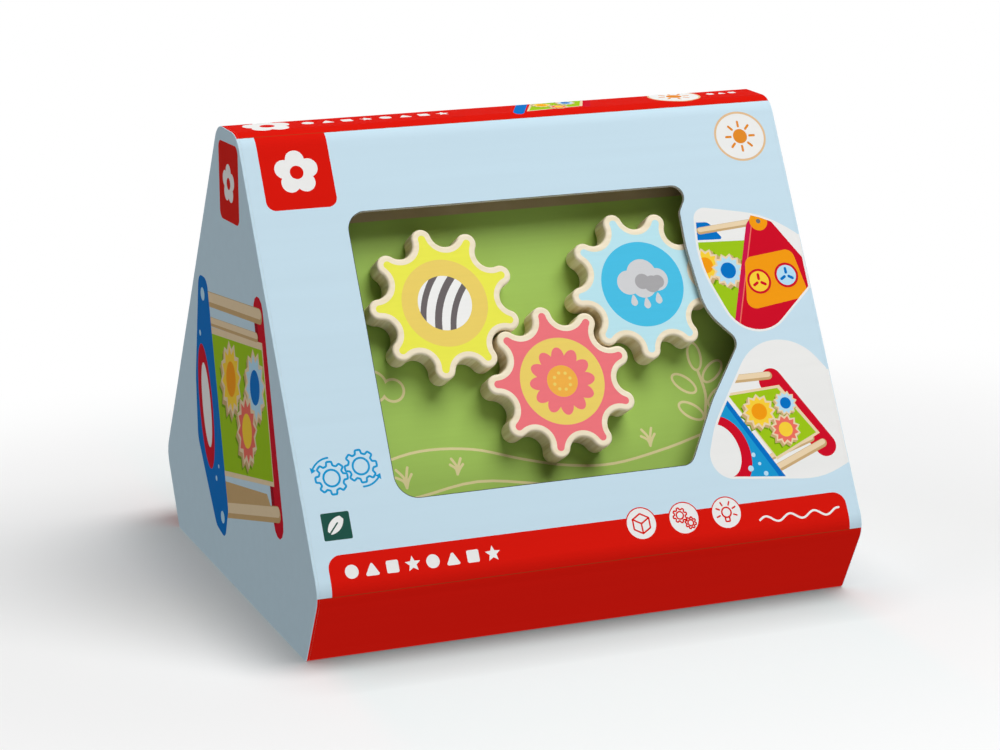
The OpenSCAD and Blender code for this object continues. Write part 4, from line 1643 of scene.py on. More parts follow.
    def end_outline(self, left: bool) -> tuple[Callable[[float], Outline], Callable[[int], Finish]]:
        """Outline of an end by inset, and the ink of its rim that carries on from the sleeve.

        Args:
            left: whether the end faces left.

        Returns:
            The outline function and the rim's finish by number of its point.
        """
        crease, runs = -self.front_zero, () if left else self.bleeds
        bleeds = [(crease - high, crease - low) for low, high in runs]
        marks = [s for span in (*self.blue_spans, *bleeds) for s in span]
        places = sorted(set(self.path.bends(-1.0, self.path.length + 1.0) + marks))
        places = [s for s in places if s < self.path.length - 1e-3]

        def ring(inset: float) -> Outline:
            """Section at an inset, anticlockwise from outside."""
            points = [self.path.at(s, inset)[0] for s in places]
            return [(-p.x, p.y) for p in points[::-1]] if left else [(p.x, p.y) for p in points]

        def rim(i: int) -> Finish:
            """Ink of the rim between one point and the next.

            Args:
                i: number of the first point.

            Returns:
                The ink that lies on the sleeve beside it.
            """
            k = len(places) - 1 - (i + 1) % len(places) if left else i
            after = places[k + 1] if k + 1 < len(places) else self.path.length
            middle = (places[k] + after) / 2
            if any(a < middle < b for a, b in bleeds):
                return WHITE
            return PALE_BLUE if any(a < middle < b for a, b in self.blue_spans) else RED

        return ring, rim

    def end_plate(self, piece: Piece, left: bool) -> None:
        """Builds an end of the carton in a piece.

        Args:
            piece: piece that gets the faces.
            left: whether the end faces left.
        """
        ring, rim = self.end_outline(left)
        axes = facing_left(-self.end_face) if left else facing_right(self.end_face)
        prints = self.end_prints(1 if left else -1)
        rims = (self.rim_r, SHARP)
        Plate(axes, ring, self.board_t, PALE_BLUE, KRAFT, rim, rims, prints, wrapped=True).build(piece)

    def build(self) -> None:
        """Builds the sleeve's six boards and its right end."""
        front, back, top = self.front_zero, self.back_zero, self.top_middle
        prints = [self.bar(-b, -a, PALE_BLUE) for a, b in self.blue_spans]
        prints += self.shifted(self.front_prints(), lambda p: (p[0], p[1] + front))
        prints += self.shifted(self.back_prints(), lambda p: (-p[0], -p[1] - back))
        prints += self.shifted(self.top_prints(), lambda p: (p[0], p[1] - top)) + self.score_prints()
        window = [(u, w + front) for u, w in rounded(self.window, step=4.0)]
        folds, red, blue = self.path.folds, Slot.BOARD_RED, Slot.BOARD_BLUE
        for name, start, end, slot in (
            ("base", folds[FRONT_BASE].start, folds[BACK_BASE].end, red),
            ("back_skirt", folds[BACK_BASE].end, folds[BACK_CREASE].end, red),
            ("back", folds[BACK_CREASE].end, folds[BACK_TOP].start, blue),
            ("top", folds[BACK_TOP].start, folds[FRONT_TOP].end, red),
            ("front", folds[FRONT_TOP].end, folds[FRONT_CREASE].start, blue),
            ("front_skirt", folds[FRONT_CREASE].start, self.path.length, red),
        ):
            node = f"sleeve_{name}" if name.endswith("skirt") else f"sleeve_{name}_panel"
            piece = self.new(f"carton_{name}", node, slot, Body.SLEEVE)
            self.strip(piece, start, end, prints, window if name == "front" else ())
        self.end_plate(self.new("carton_right_end", "sleeve_right_end", blue, Body.SLEEVE), False)


@dataclass
class Tray(SubAssembly):
    """Sliding tray of kraft board with the carton's left end and two pads for the toy."""

    carton: Carton
    left: float = -148.4
    right: float = 148.0
    half: float = 111.4
    bottom: float = 2.0
    board_t: float = 1.6
    rim_r: float = 0.1
    corner_r: float = 1.5
    lip_top: float = 15.8
    riser_top: float = 14.79
    riser_half_l: float = 142.4
    riser_y: float = 53.38
    riser_w: float = 36.0
    riser_corner_r: float = 2.2
    fold_r: float = 1.8

    def board(
        self, piece: Piece, axes: Axes, corners: list[Corner], thickness: float, rim: float, edge: Finish
    ) -> None:
        """Builds one flat board, its upper face at the axes and its lower rim cut sharp."""
        Plate(axes, insets(corners, step=15.0), thickness, KRAFT, KRAFT, edge, (rim, SHARP)).build(piece)

    def build(self) -> None:
        """Builds the left end, floor, lip and pads."""
        self.carton.end_plate(self.new("tray_printed_end", "tray_left_end", Slot.BOARD_BLUE), True)
        top, half_l = self.bottom + self.board_t, self.riser_half_l
        floor = self.new("tray_floor", "tray_base", Slot.KRAFT)
        sheet = block(self.left, -self.half, self.right, self.half, self.corner_r)
        self.board(floor, facing_up(top), sheet, self.board_t, self.rim_r, KRAFT_EDGE)
        lip = self.new("tray_lip", "tray_right_lip", Slot.KRAFT)
        flap = block(-self.half, top, self.half, self.lip_top)
        self.board(lip, facing_right(self.right), flap, self.board_t, self.rim_r, KRAFT_EDGE)
        for name, side in (("front", -1), ("back", 1)):
            pad = self.new(f"tray_{name}_pad", f"tray_{name}_riser", Slot.KRAFT)
            y0 = side * self.riser_y - self.riser_w / 2
            corners = block(-half_l, y0, half_l, y0 + self.riser_w, self.riser_corner_r)
            self.board(pad, facing_up(self.riser_top), corners, self.riser_top - top, self.fold_r, KRAFT)


# Centres of the yellow, coral and blue gears on the front, and of the discs on the red end.
GEAR_CENTRES: tuple[Point, ...] = ((-55.2, 142.95), (0.0, 95.8), (55.2, 142.95))
EYE_CENTRES: tuple[Point, ...] = ((-26.0, 126.8), (26.0, 126.8))


@dataclass
class ToyFrame(SubAssembly):
    """Painted triangular ends, dowels, panels, mirror, buttons and screws of the toy."""

    face_x: float = 142.4
    end_t: float = 10.0
    foot: float = 14.795
    apex: float = 267.70
    half_base: float = 144.69
    corner_r: float = 22.0
    rim_r: float = 2.4
    handle_at: Point = (0.0, 223.4)
    rail_at: Point = (106.76, 36.8)
    upper_rail_at: Point = (22.05, 194.86)
    dowel_d: float = 20.0
    upper_rail_d: float = 13.0
    dowel_half_l: float = 135.4
    dowel_seat: float = 3.0
    dowel_chamfer: float = 0.8
    groove: float = 4.0
    groove_gap: float = 0.1
    panel_depth: float = 18.5
    panel_t: float = 7.0
    panel_low: float = 38.0
    panel_high: float = 201.0
    back_panel_high: float = 172.0
    panel_half_l: float = 136.3
    panel_rim: float = 1.2
    panel_corner_r: float = 2.0
    paint_high: float = 194.0
    floor_top: float = 39.8
    floor_t: float = 6.0
    floor_half: float = 96.6
    floor_rim: float = 0.6
    floor_corner_r: float = 1.0
    mirror_half: Point = (32.0, 42.0)
    mirror_at: Point = (0.0, 106.8)
    mirror_t: float = 2.0
    mirror_fit: float = 0.1
    mirror_rims: Point = (0.5, 0.1)
    eye_recess_r: float = 17.3
    eye_recess: float = 3.0
    eye_bore_r: float = 4.05
    button_r: float = 20.0
    button_t: float = 5.0
    button_rim: float = 3.0
    button_floor: float = 2.0
    counterbore_r: float = 4.6
    counterbore_chamfer: float = 0.4
    screw_r: float = 2.25
    screw_l: float = 38.0
    screw_point: float = 4.5
    hole_spare: float = 1.0
    head_r: float = 4.5
    head_t: float = 2.4
    head_top_r: float = 2.9
    head_wall: float = 0.9
    peg_bore_r: float = 5.05

    def corners(self) -> list[Point]:
        """Places of the three screwed dowels as (depth, height)."""
        y, z = self.rail_at
        return [self.handle_at, (y, z), (-y, z)]

    def mirror_oval(self, inset: float) -> Outline:
        """Outline of the mirror at an inset."""
        return oval(self.mirror_at, self.mirror_half[0] - inset, self.mirror_half[1] - inset, steps=96)

    def bores(self, places: Sequence[Point], radius: float, steps: int) -> list[Recess]:
        """Round holes right through a board."""
        # Their walls take the darkened ply, painted shade inside the hole.
        return [Recess(circle(p, radius, steps), None, wall=SHADED_BIRCH) for p in places]

    def inner_recesses(self, sign: int) -> list[Recess]:
        """Grooves and seats in the inner face of an end.

        Args:
            sign: 1 where the face's first axis runs along Y and -1 where it runs against it.

        Returns:
            The pockets.
        """
        gap = self.groove_gap
        low, near = self.panel_low - gap, self.panel_depth - gap
        far = near + (self.panel_t + 2 * gap)
        out = []
        for axes, high in ((FRONT, self.panel_high + gap), (BACK, self.back_panel_high + gap)):
            places = [axes.at(0, w, -d) for w, d in ((low, near), (high, near), (high, far), (low, far))]
            out.append(([(p.y, p.z) for p in places], self.groove))
        y, top, bottom = self.floor_half + FIT, self.floor_top + gap, self.floor_top - self.floor_t - gap
        out.append(([(-y, bottom), (y, bottom), (y, top), (-y, top)], self.groove))
        out.append((circle(self.upper_rail_at, self.upper_rail_d / 2 + FIT), self.dowel_seat))
        out += [(circle(p, self.dowel_d / 2 + FIT), self.dowel_seat) for p in self.corners()]
        # Groove and seat walls and floors take the darkened ply, painted shade in the pockets.
        return [Recess([(sign * p[0], p[1]) for p in o], d, SHADED_BIRCH, SHADED_BIRCH) for o, d in out]

    def build_ends(self) -> None:
        """Builds the two triangular ends with their prints and pockets."""
        r, rims = self.corner_r, (self.rim_r, self.rim_r)
        corners = [(-self.half_base, self.foot, r), (self.half_base, self.foot, r), (0.0, self.apex, r)]
        shape = insets(corners, step=4.0)
        holes = self.bores(self.corners(), self.screw_r + FIT, 24)
        blue = Plate(facing_left(-self.face_x), shape, self.end_t, BLUE_PAINT, rims=rims)
        blue.front_prints = self.blue_prints()
        blue.front_recesses = [Recess(self.mirror_oval(-self.mirror_fit), self.mirror_t)] + holes
        blue.back_recesses = self.inner_recesses(-1) + holes
        blue.build(self.new("blue_triangle", "blue_end", Slot.WOOD_BLUE))
        eyes = [circle(p, self.eye_recess_r, 72) for p in EYE_CENTRES]
        seats = [Recess(seat, self.eye_recess, CRIMSON_PAINT) for seat in eyes]
        bores = holes + self.bores(EYE_CENTRES, self.eye_bore_r, 32)
        red = Plate(facing_right(self.face_x), shape, self.end_t, RED_PAINT, rims=rims)
        red.front_prints = self.red_prints()
        red.front_recesses = seats + bores
        red.back_recesses = self.inner_recesses(1) + bores
        red.build(self.new("red_triangle", "red_end", Slot.WOOD_RED))

    def blue_prints(self) -> list[Print]:
        """Prints of the blue end: a ring round the mirror and scattered dots.

        Returns:
            The prints from the bottom up.
        """
        out = [Print(self.mirror_oval(-13), CRIMSON_PAINT), Print(self.mirror_oval(-4), RED_PAINT)]
        spots = (
            (-66, 60, 5.5), (-78, 74, 3.2), (-58, 46, 2.6), (64, 64, 3.4), (74, 50, 6.0),
            (58, 44, 2.8), (-30, 172, 3.0), (26, 178, 4.6), (6, 190, 2.6), (-12, 184, 4.0),
            (88, 62, 2.4), (-92, 58, 2.6), (44, 156, 2.4), (-50, 146, 2.2),
        )
        return out + dots(spots, LIGHT_BLUE_PAINT, steps=32)

    def red_prints(self) -> list[Print]:
        """Prints of the red end: an orange field with rings round the turning discs.

        Returns:
            The prints from the bottom up.
        """
        out = [patch([(-72, 84, 14), (72, 84, 14), (50, 166, 14), (-50, 166, 14)], ORANGE_PAINT)]
        for spot in EYE_CENTRES:
            out += [disc(spot, 24.5, RUST_PAINT, steps=72), disc(spot, 20.5, CRIMSON_PAINT, steps=72)]
        return out + [disc((y, 62), 4.5, ORANGE_PAINT, steps=32) for y in range(-72, 73, 24)]

    def build_dowels(self) -> None:
        """Builds the handle, the foot rails and the upper rail."""
        (rail_y, rail_z), half, c = self.rail_at, self.dowel_half_l, self.dowel_chamfer
        hole = self.screw_r + FIT
        deep = self.screw_l - self.button_floor - self.end_t + self.dowel_seat + self.hole_spare
        for name, node, place, d, bored in (
            ("handle_dowel", "carry_handle", self.handle_at, self.dowel_d, True),
            ("front_foot_dowel", "front_rail", (-rail_y, rail_z), self.dowel_d, True),
            ("back_foot_dowel", "back_rail", (rail_y, rail_z), self.dowel_d, True),
            ("upper_dowel", "upper_rail", self.upper_rail_at, self.upper_rail_d, False),
        ):
            r = d / 2
            end = [(hole, half), (hole, half - deep), (0, half - deep)] if bored else [(0, half)]
            start = [(u, -v) for u, v in end[::-1]]
            body = [(r - c, -half), (r, -half + c), (r, half - c), (r - c, half)]
            piece = self.new(name, node, Slot.BEECH)
            lathe(piece, facing_right(0.0).moved(*place), start + body + end, BEECH)

    def build_panels(self) -> None:
        """Builds the gear panel, the back panel and the floor."""
        half, low, high, paint = self.panel_half_l, self.panel_low, self.panel_high, self.paint_high
        rims, sunk = (self.panel_rim, self.panel_rim), -self.panel_depth
        # The two extra corners give the flanks points where the paint ends.
        marks = ((-half, low), (half, low), (half, paint), (half, high), (-half, high), (-half, paint))
        r = self.panel_corner_r
        edge = insets([(u, w, r) for u, w in marks], step=10.0)
        # The panel's bare wood, its top strip and its edges, is the darkened ply: painted shade.
        green = Plate(FRONT.moved(0, 0, sunk), edge, self.panel_t, SHADED_BIRCH, rims=rims)
        green.front_prints = self.green_prints()
        green.front_recesses = green.back_recesses = self.bores(GEAR_CENTRES, self.peg_bore_r, 32)
        green.build(self.new("green_panel", "gear_panel", Slot.WOOD_GREEN))
        slab = insets(block(-half, low, half, self.back_panel_high, r), step=10.0)
        back = BACK.moved(0, 0, sunk)
        sun = Plate(back, slab, self.panel_t, SUN_PAINT, BACK_PLY, BACK_PLY, rims, self.sun_prints())
        sun.build(self.new("sun_panel", "back_panel", Slot.WOOD_SUN))
        board = insets(block(-half, -self.floor_half, half, self.floor_half, self.floor_corner_r), step=15.0)
        rims = (self.floor_rim, self.floor_rim)
        floor = Plate(facing_up(self.floor_top), board, self.floor_t, FLOOR_PLY, rims=rims)
        floor.build(self.new("ply_floor", "floor_board", Slot.PLYWOOD))

    def green_prints(self) -> list[Print]:
        """Prints of the gear panel: a green field with hills, leaves and tufts in one line.

        Returns:
            The prints from the bottom up.
        """
        wide, high = self.panel_half_l + 8, self.paint_high
        out = [Print([(-wide, 20), (wide, 20), (wide, high), (-wide, high)], GREEN_PAINT)]
        near = [(-130, 60), (-104, 66), (-78, 71), (-50, 69), (-24, 61)]
        near += [(0, 55), (26, 53), (58, 58), (92, 66), (130, 70)]
        far = [(-130, 49), (-90, 47), (-50, 52), (-10, 46), (30, 42)]
        out += [line(curve(hill, closed=False, steps=5), 1.4, LINE_PAINT) for hill in (near, far)]
        tufts = [(-88, 53, 1.0, 6), (-60, 57, 0.8, -4), (48, 60, 0.9, 3)]
        for u, w, size, lean in tufts + [(-118, 70, 1.1, 0), (112, 74, 1.0, -5)]:
            for turn, tall in ((-34, 7.5), (-12, 10.5), (12, 10.5), (34, 7.5)):
                blade = [(0, 0), (0.5, tall * 0.5), (1.8 * math.copysign(1, turn), tall)]
                blade = moved(blade, (u, w), -turn * 0.6 + lean, size)
                out.append(line(curve(blade, closed=False), 1.4, LINE_PAINT))
        stem = curve([(84, 56), (82, 70), (85, 84), (83, 99)], closed=False)
        out.append(line(stem, 1.6, LINE_PAINT))
        for u, w, turn in ((75, 76, 145), (92, 82, 35), (74, 91, 140), (91.5, 96, 40), (83, 105, 90)):
            out.append(Print(oval((u, w), 8.2, 4.3, turn, 40), LINE_PAINT))
            out.append(Print(oval((u, w), 6.8, 2.9, turn, 40), GREEN_PAINT))
        out += dots(((-106, 104, 7), (-97, 107, 9), (-86, 104, 6.5)), LINE_PAINT)
        return out + dots(((-106, 104, 5.6), (-97, 107, 7.6), (-86, 104, 5.1)), GREEN_PAINT)

    def sun_prints(self) -> list[Print]:
        """Prints of the back panel: plain round fields on a yellow ground."""
        rings = ((34, PEACH_PAINT, 72), (29, CREAM_PAINT, 72), (21, SUN_PAINT, 72), (10, PEACH_PAINT, 48))
        return [disc((u, 105), r, ink, steps=steps) for u in (-78, 0, 78) for r, ink, steps in rings]

    def build_fittings(self) -> None:
        """Builds the mirror, the corner buttons and their screws."""
        left, right = facing_left(-self.face_x), facing_right(self.face_x)
        glass = self.new("oval_mirror", "mirror", Slot.MIRROR)
        rims = self.mirror_rims
        Plate(left, self.mirror_oval, self.mirror_t, MIRROR, rims=rims).build(glass)
        screws = Piece("button_screws", "corner_screws", Slot.STEEL)
        top, floor, r, hole = self.button_t, self.button_floor, self.button_rim, self.screw_r + FIT
        rim = arc((self.button_r - r, top - r), r, 0, 90, 8)
        wide, c = self.counterbore_r, self.counterbore_chamfer
        bore = [(wide + c, top), (wide, top - c), (wide, floor), (hole, floor)]
        for name, node, ends, paint, slot in (
            ("blue_buttons", "blue_corner_buttons", left, LIGHT_BLUE_PAINT, Slot.WOOD_LIGHT_BLUE),
            ("orange_buttons", "red_corner_buttons", right, ORANGE_PAINT, Slot.WOOD_ORANGE),
        ):
            piece = self.new(name, node, slot)
            for place in self.corners():
                spot = ends.moved(*place)
                lathe(piece, spot, [(hole, 0), (self.button_r, 0)] + rim + bore, paint, closed=True)
                self.screw(screws, spot.moved(0, 0, floor))
        self.pieces.append(screws)

    def screw(self, piece: Piece, axes: Axes) -> None:
        """Adds one round-headed screw with a cross recess.

        Args:
            piece: piece that gets the faces.
            axes: place under its head, with the third axis out of the wood.
        """
        top, wall, r, tip = self.head_top_r, self.head_wall, self.screw_r, -self.screw_l
        dome = [polar((0, 0), 1, 15 * k) for k in range(7)]
        head = [(top + (self.head_r - top) * u, wall + (self.head_t - wall) * v) for u, v in dome]
        shank = [(0, tip), (r, tip + self.screw_point), (r, 0), (self.head_r, 0.0)]
        steps, arm, half, deep = 48, 2.1, 0.45, 1.1
        ring = lathe(piece, axes, shank + head, STEEL, steps=steps)
        cross = [
            (arm, -half), (arm, half), (half, half), (half, arm), (-half, arm), (-half, half),
            (-arm, half), (-arm, -half), (-half, -half), (-half, -arm), (half, -arm), (half, -half),
        ]
        cap = Cap(axes, STEEL, recesses=[Recess(cross, deep)])
        cap.build(piece, circle((0, 0), top, steps), ring, self.head_t)

    def build(self) -> None:
        """Builds the toy's fixed pieces."""
        self.build_ends()
        self.build_dowels()
        self.build_panels()
        self.build_fittings()


class GearKind(Enum):
    """The three gears of the toy."""

    YELLOW = "yellow"
    CORAL = "coral"
    BLUE = "blue"


@dataclass(frozen=True)
class GearLook:
    """Where a gear stands and how it is painted."""

    kind: GearKind
    centre: Point
    turn: float
    body: Body
    slot: Slot
    paint: Finish
    middle: Finish


YELLOW_AT, CORAL_AT, BLUE_AT = GEAR_CENTRES
GEARS = (
    GearLook(
        GearKind.YELLOW, YELLOW_AT, 19.91, Body.YELLOW_GEAR, Slot.WOOD_YELLOW, YELLOW_PAINT, HONEY_PAINT
    ),
    GearLook(GearKind.CORAL, CORAL_AT, 17.01, Body.CORAL_GEAR, Slot.WOOD_CORAL, CORAL_PAINT, HONEY_PAINT),
    GearLook(GearKind.BLUE, BLUE_AT, 26.08, Body.BLUE_GEAR, Slot.WOOD_PALE_BLUE, ICE_PAINT, AZURE_PAINT),
)


@dataclass
class GearTrain(SubAssembly):
    """Three meshing wooden gears on pegs, with washers behind them."""

    teeth: int = 9
    tip_centre: float = 35.2
    tip_r: float = 5.4
    tip_sweep: float = 87.716
    valley_centre: float = 38.0108
    valley_r: float = 7.6108
    valley_sweep: float = 112.284
    face_depth: float = 3.2
    thickness: float = 14.0
    rims: Point = (1.3, 1.6)
    paint_inset: float = 3.4
    middle_r: float = 23.1
    bore_r: float = 5.05
    bore_depth: float = 9.0
    washer: Corner = (5.3, 12.0, 1.0)
    washer_gap: float = 0.3
    washer_chamfer: float = 0.2
    peg: Peg = Peg(reach=8.6, head_r=9.0, head_t=4.0, head_round=2.4, shank_r=5.0, depth=9.0, chamfer=0.6)

    def outline(self, inset: float, turn: float) -> Outline:
        """Tooth outline at an inset.

        Args:
            inset: distance that the outline moves into the gear.
            turn: turn of the gear in degrees.

        Returns:
            The points, as many for every inset.
        """
        pitch, reach = 360 / self.teeth, 2 * (180 - self.valley_sweep)
        tip = arc((self.tip_centre, 0), self.tip_r - inset, -self.tip_sweep, 2 * self.tip_sweep, 20)
        valley = arc((self.valley_centre, 0), self.valley_r + inset, 360 - self.valley_sweep, -reach, 16)
        out: Outline = []
        for k in range(self.teeth):
            out += moved(tip, (0, 0), turn + k * pitch)
            out += moved(valley[1:-1], (0, 0), turn + (k + 0.5) * pitch)
        return out

    def motif(self, kind: GearKind) -> list[Print]:
        """Prints in the middle of a gear: a striped ball, a sunflower or a cloud.

        Args:
            kind: which gear.

        Returns:
            The prints from the bottom up.
        """
        if kind is GearKind.YELLOW:
            ball, out = disc((0, 0), 14.5, CHALK_PAINT, steps=72), []
            for offset, width in ((-8.6, 3.2), (-0.4, 3.8), (7.8, 3.2)):
                band = [(offset - 2 + 0.012 * w * w, w) for w in range(-18, 19, 3)]
                out.append(line(moved(band, (0, 0), -24), width, SLATE_PAINT))
            return [ball] + bounded(out, ball)
        if kind is GearKind.CORAL:
            petals = enumerate(arc((0, 0), 12.4, 0, 360, 12)[:-1])
            out = [Print(oval(p, 5.6, 3.6, 30 * i, 32), CORAL_PAINT) for i, p in petals]
            out += [disc((0, 0), 10.6, CORAL_PAINT), disc((0, 0), 8.4, AMBER_PAINT)]
            return out + [disc(p, 0.9, HONEY_PAINT, steps=16) for p in arc((0, 0), 4.6, 15, 360, 8)[:-1]]
        puffs = ((-7.5, 1.5, 6.6), (0.5, 5.2, 8.4), (8.6, 1.8, 6.2), (0.5, -0.5, 7.0))
        shades = ((5.4, -0.4, 4.6), (0.2, 1.4, 4.2), (8.8, 0.6, 3.6))
        out = dots(puffs, SILVER_PAINT, steps=40) + dots(shades, CLOUD_PAINT, steps=40)
        for u, w in ((-6.5, -9.5), (0.5, -11.5), (7.5, -9.5)):
            out.append(Print(curve([(u, w + 4.2), (u - 1.9, w), (u, w - 1.9), (u + 1.9, w)]), SILVER_PAINT))
        return out

    def build(self) -> None:
        """Builds the gears, their pegs and the washers."""
        washers = Piece("nylon_washers", "gear_washers", Slot.NYLON)
        (inner, outer, thick), c = self.washer, self.washer_chamfer
        ring = [(inner, -thick), (outer - c, -thick), (outer, -thick + c)]
        ring += [(outer, -c), (outer - c, 0), (inner, 0)]
        for look in GEARS:
            name, axes = look.kind.value, FRONT.moved(*look.centre, -self.face_depth)
            shape = partial(self.outline, turn=look.turn)
            gear = Plate(axes, shape, self.thickness, GEAR_FACE, GEAR_FACE, GEAR_SIDE, self.rims)
            middle = disc((0, 0), self.middle_r, look.middle, steps=96)
            paint = Print(shape(self.paint_inset), look.paint)
            gear.front_prints = [paint, middle] + self.motif(look.kind)
            gear.back_recesses = [Recess(circle((0, 0), self.bore_r, 32), self.bore_depth)]
            gear.rim_steps, gear.wrapped = 6, True
            gear.build(self.new(f"{name}_cog", f"{name}_gear", look.slot, look.body))
            behind = axes.moved(0, 0, -self.thickness)
            peg = self.new(f"{name}_axle", f"{name}_gear_peg", Slot.BEECH, look.body)
            self.peg.build(peg, behind, PEG_WOOD)
            lathe(washers, behind.moved(0, 0, -self.washer_gap), ring, NYLON, closed=True)
        self.pieces.append(washers)


@dataclass
class TurningDiscs(SubAssembly):
    """Two discs that turn in round seats of the red end, on pegs."""

    back_x: float = 139.7
    radius: float = 17.0
    thickness: float = 7.0
    rim_r: float = 3.0
    bore_r: float = 4.05
    bore_depth: float = 4.0
    peg: Peg = Peg(reach=7.6, head_r=7.0, head_t=3.0, head_round=2.0, shank_r=4.0, depth=4.0, chamfer=0.5)

    def build(self) -> None:
        """Builds each disc with its painted blades, and its peg."""
        steps, flat_r, deep = 96, self.radius - self.rim_r, self.bore_depth
        rim = arc((flat_r, self.thickness - self.rim_r), self.rim_r, 0, 90, 8)
        profile = [(0, deep), (self.bore_r, deep), (self.bore_r, 0), (self.radius, 0)] + rim
        looks = (("front_eye", Body.FRONT_EYE, ORANGE_PAINT), ("back_eye", Body.BACK_EYE, LIGHT_BLUE_PAINT))
        for spot, (name, body, ground) in zip(EYE_CENTRES, looks):
            axes = facing_right(self.back_x).moved(*spot)
            eye = self.new(f"{name}_disc", name, Slot.WOOD_WHITE, body)
            ring = lathe(eye, axes, profile, WHITE_PAINT, steps=steps)
            face = Cap(axes, WHITE_PAINT, spinner((0, 0), 11.5, ground, WHITE_PAINT))
            face.build(eye, circle((0, 0), flat_r, steps), ring, self.thickness)
            self.peg.build(self.new(f"{name}_axle", f"{name}_peg", Slot.BEECH, body), axes, BEECH)


WHITE_LIGHT: Colour = (1.0, 1.0, 1.0, 1.0)


@dataclass(frozen=True)
class SoftBox:
    """A round soft box that points at the object, in metres and watts."""

    name: str
    source: Corner
    distance: float
    size: float
    power: float
    aim: Corner = (0.0, 0.0, 0.12)

    def hang(self) -> None:
        """Hangs the lamp where its light comes from the source's direction."""
        towards = Vector(self.source).normalized()
        data = bpy.data.lights.new(self.name, "AREA")
        data.shape, data.size, data.energy = "DISK", self.size, self.power
        made = bpy.data.objects.new(self.name, data)
        bpy.context.scene.collection.objects.link(made)
        made.location = Vector(self.aim) + towards * self.distance
        made.rotation_mode = "QUATERNION"
        made.rotation_quaternion = towards.to_track_quat("Z", "Y")


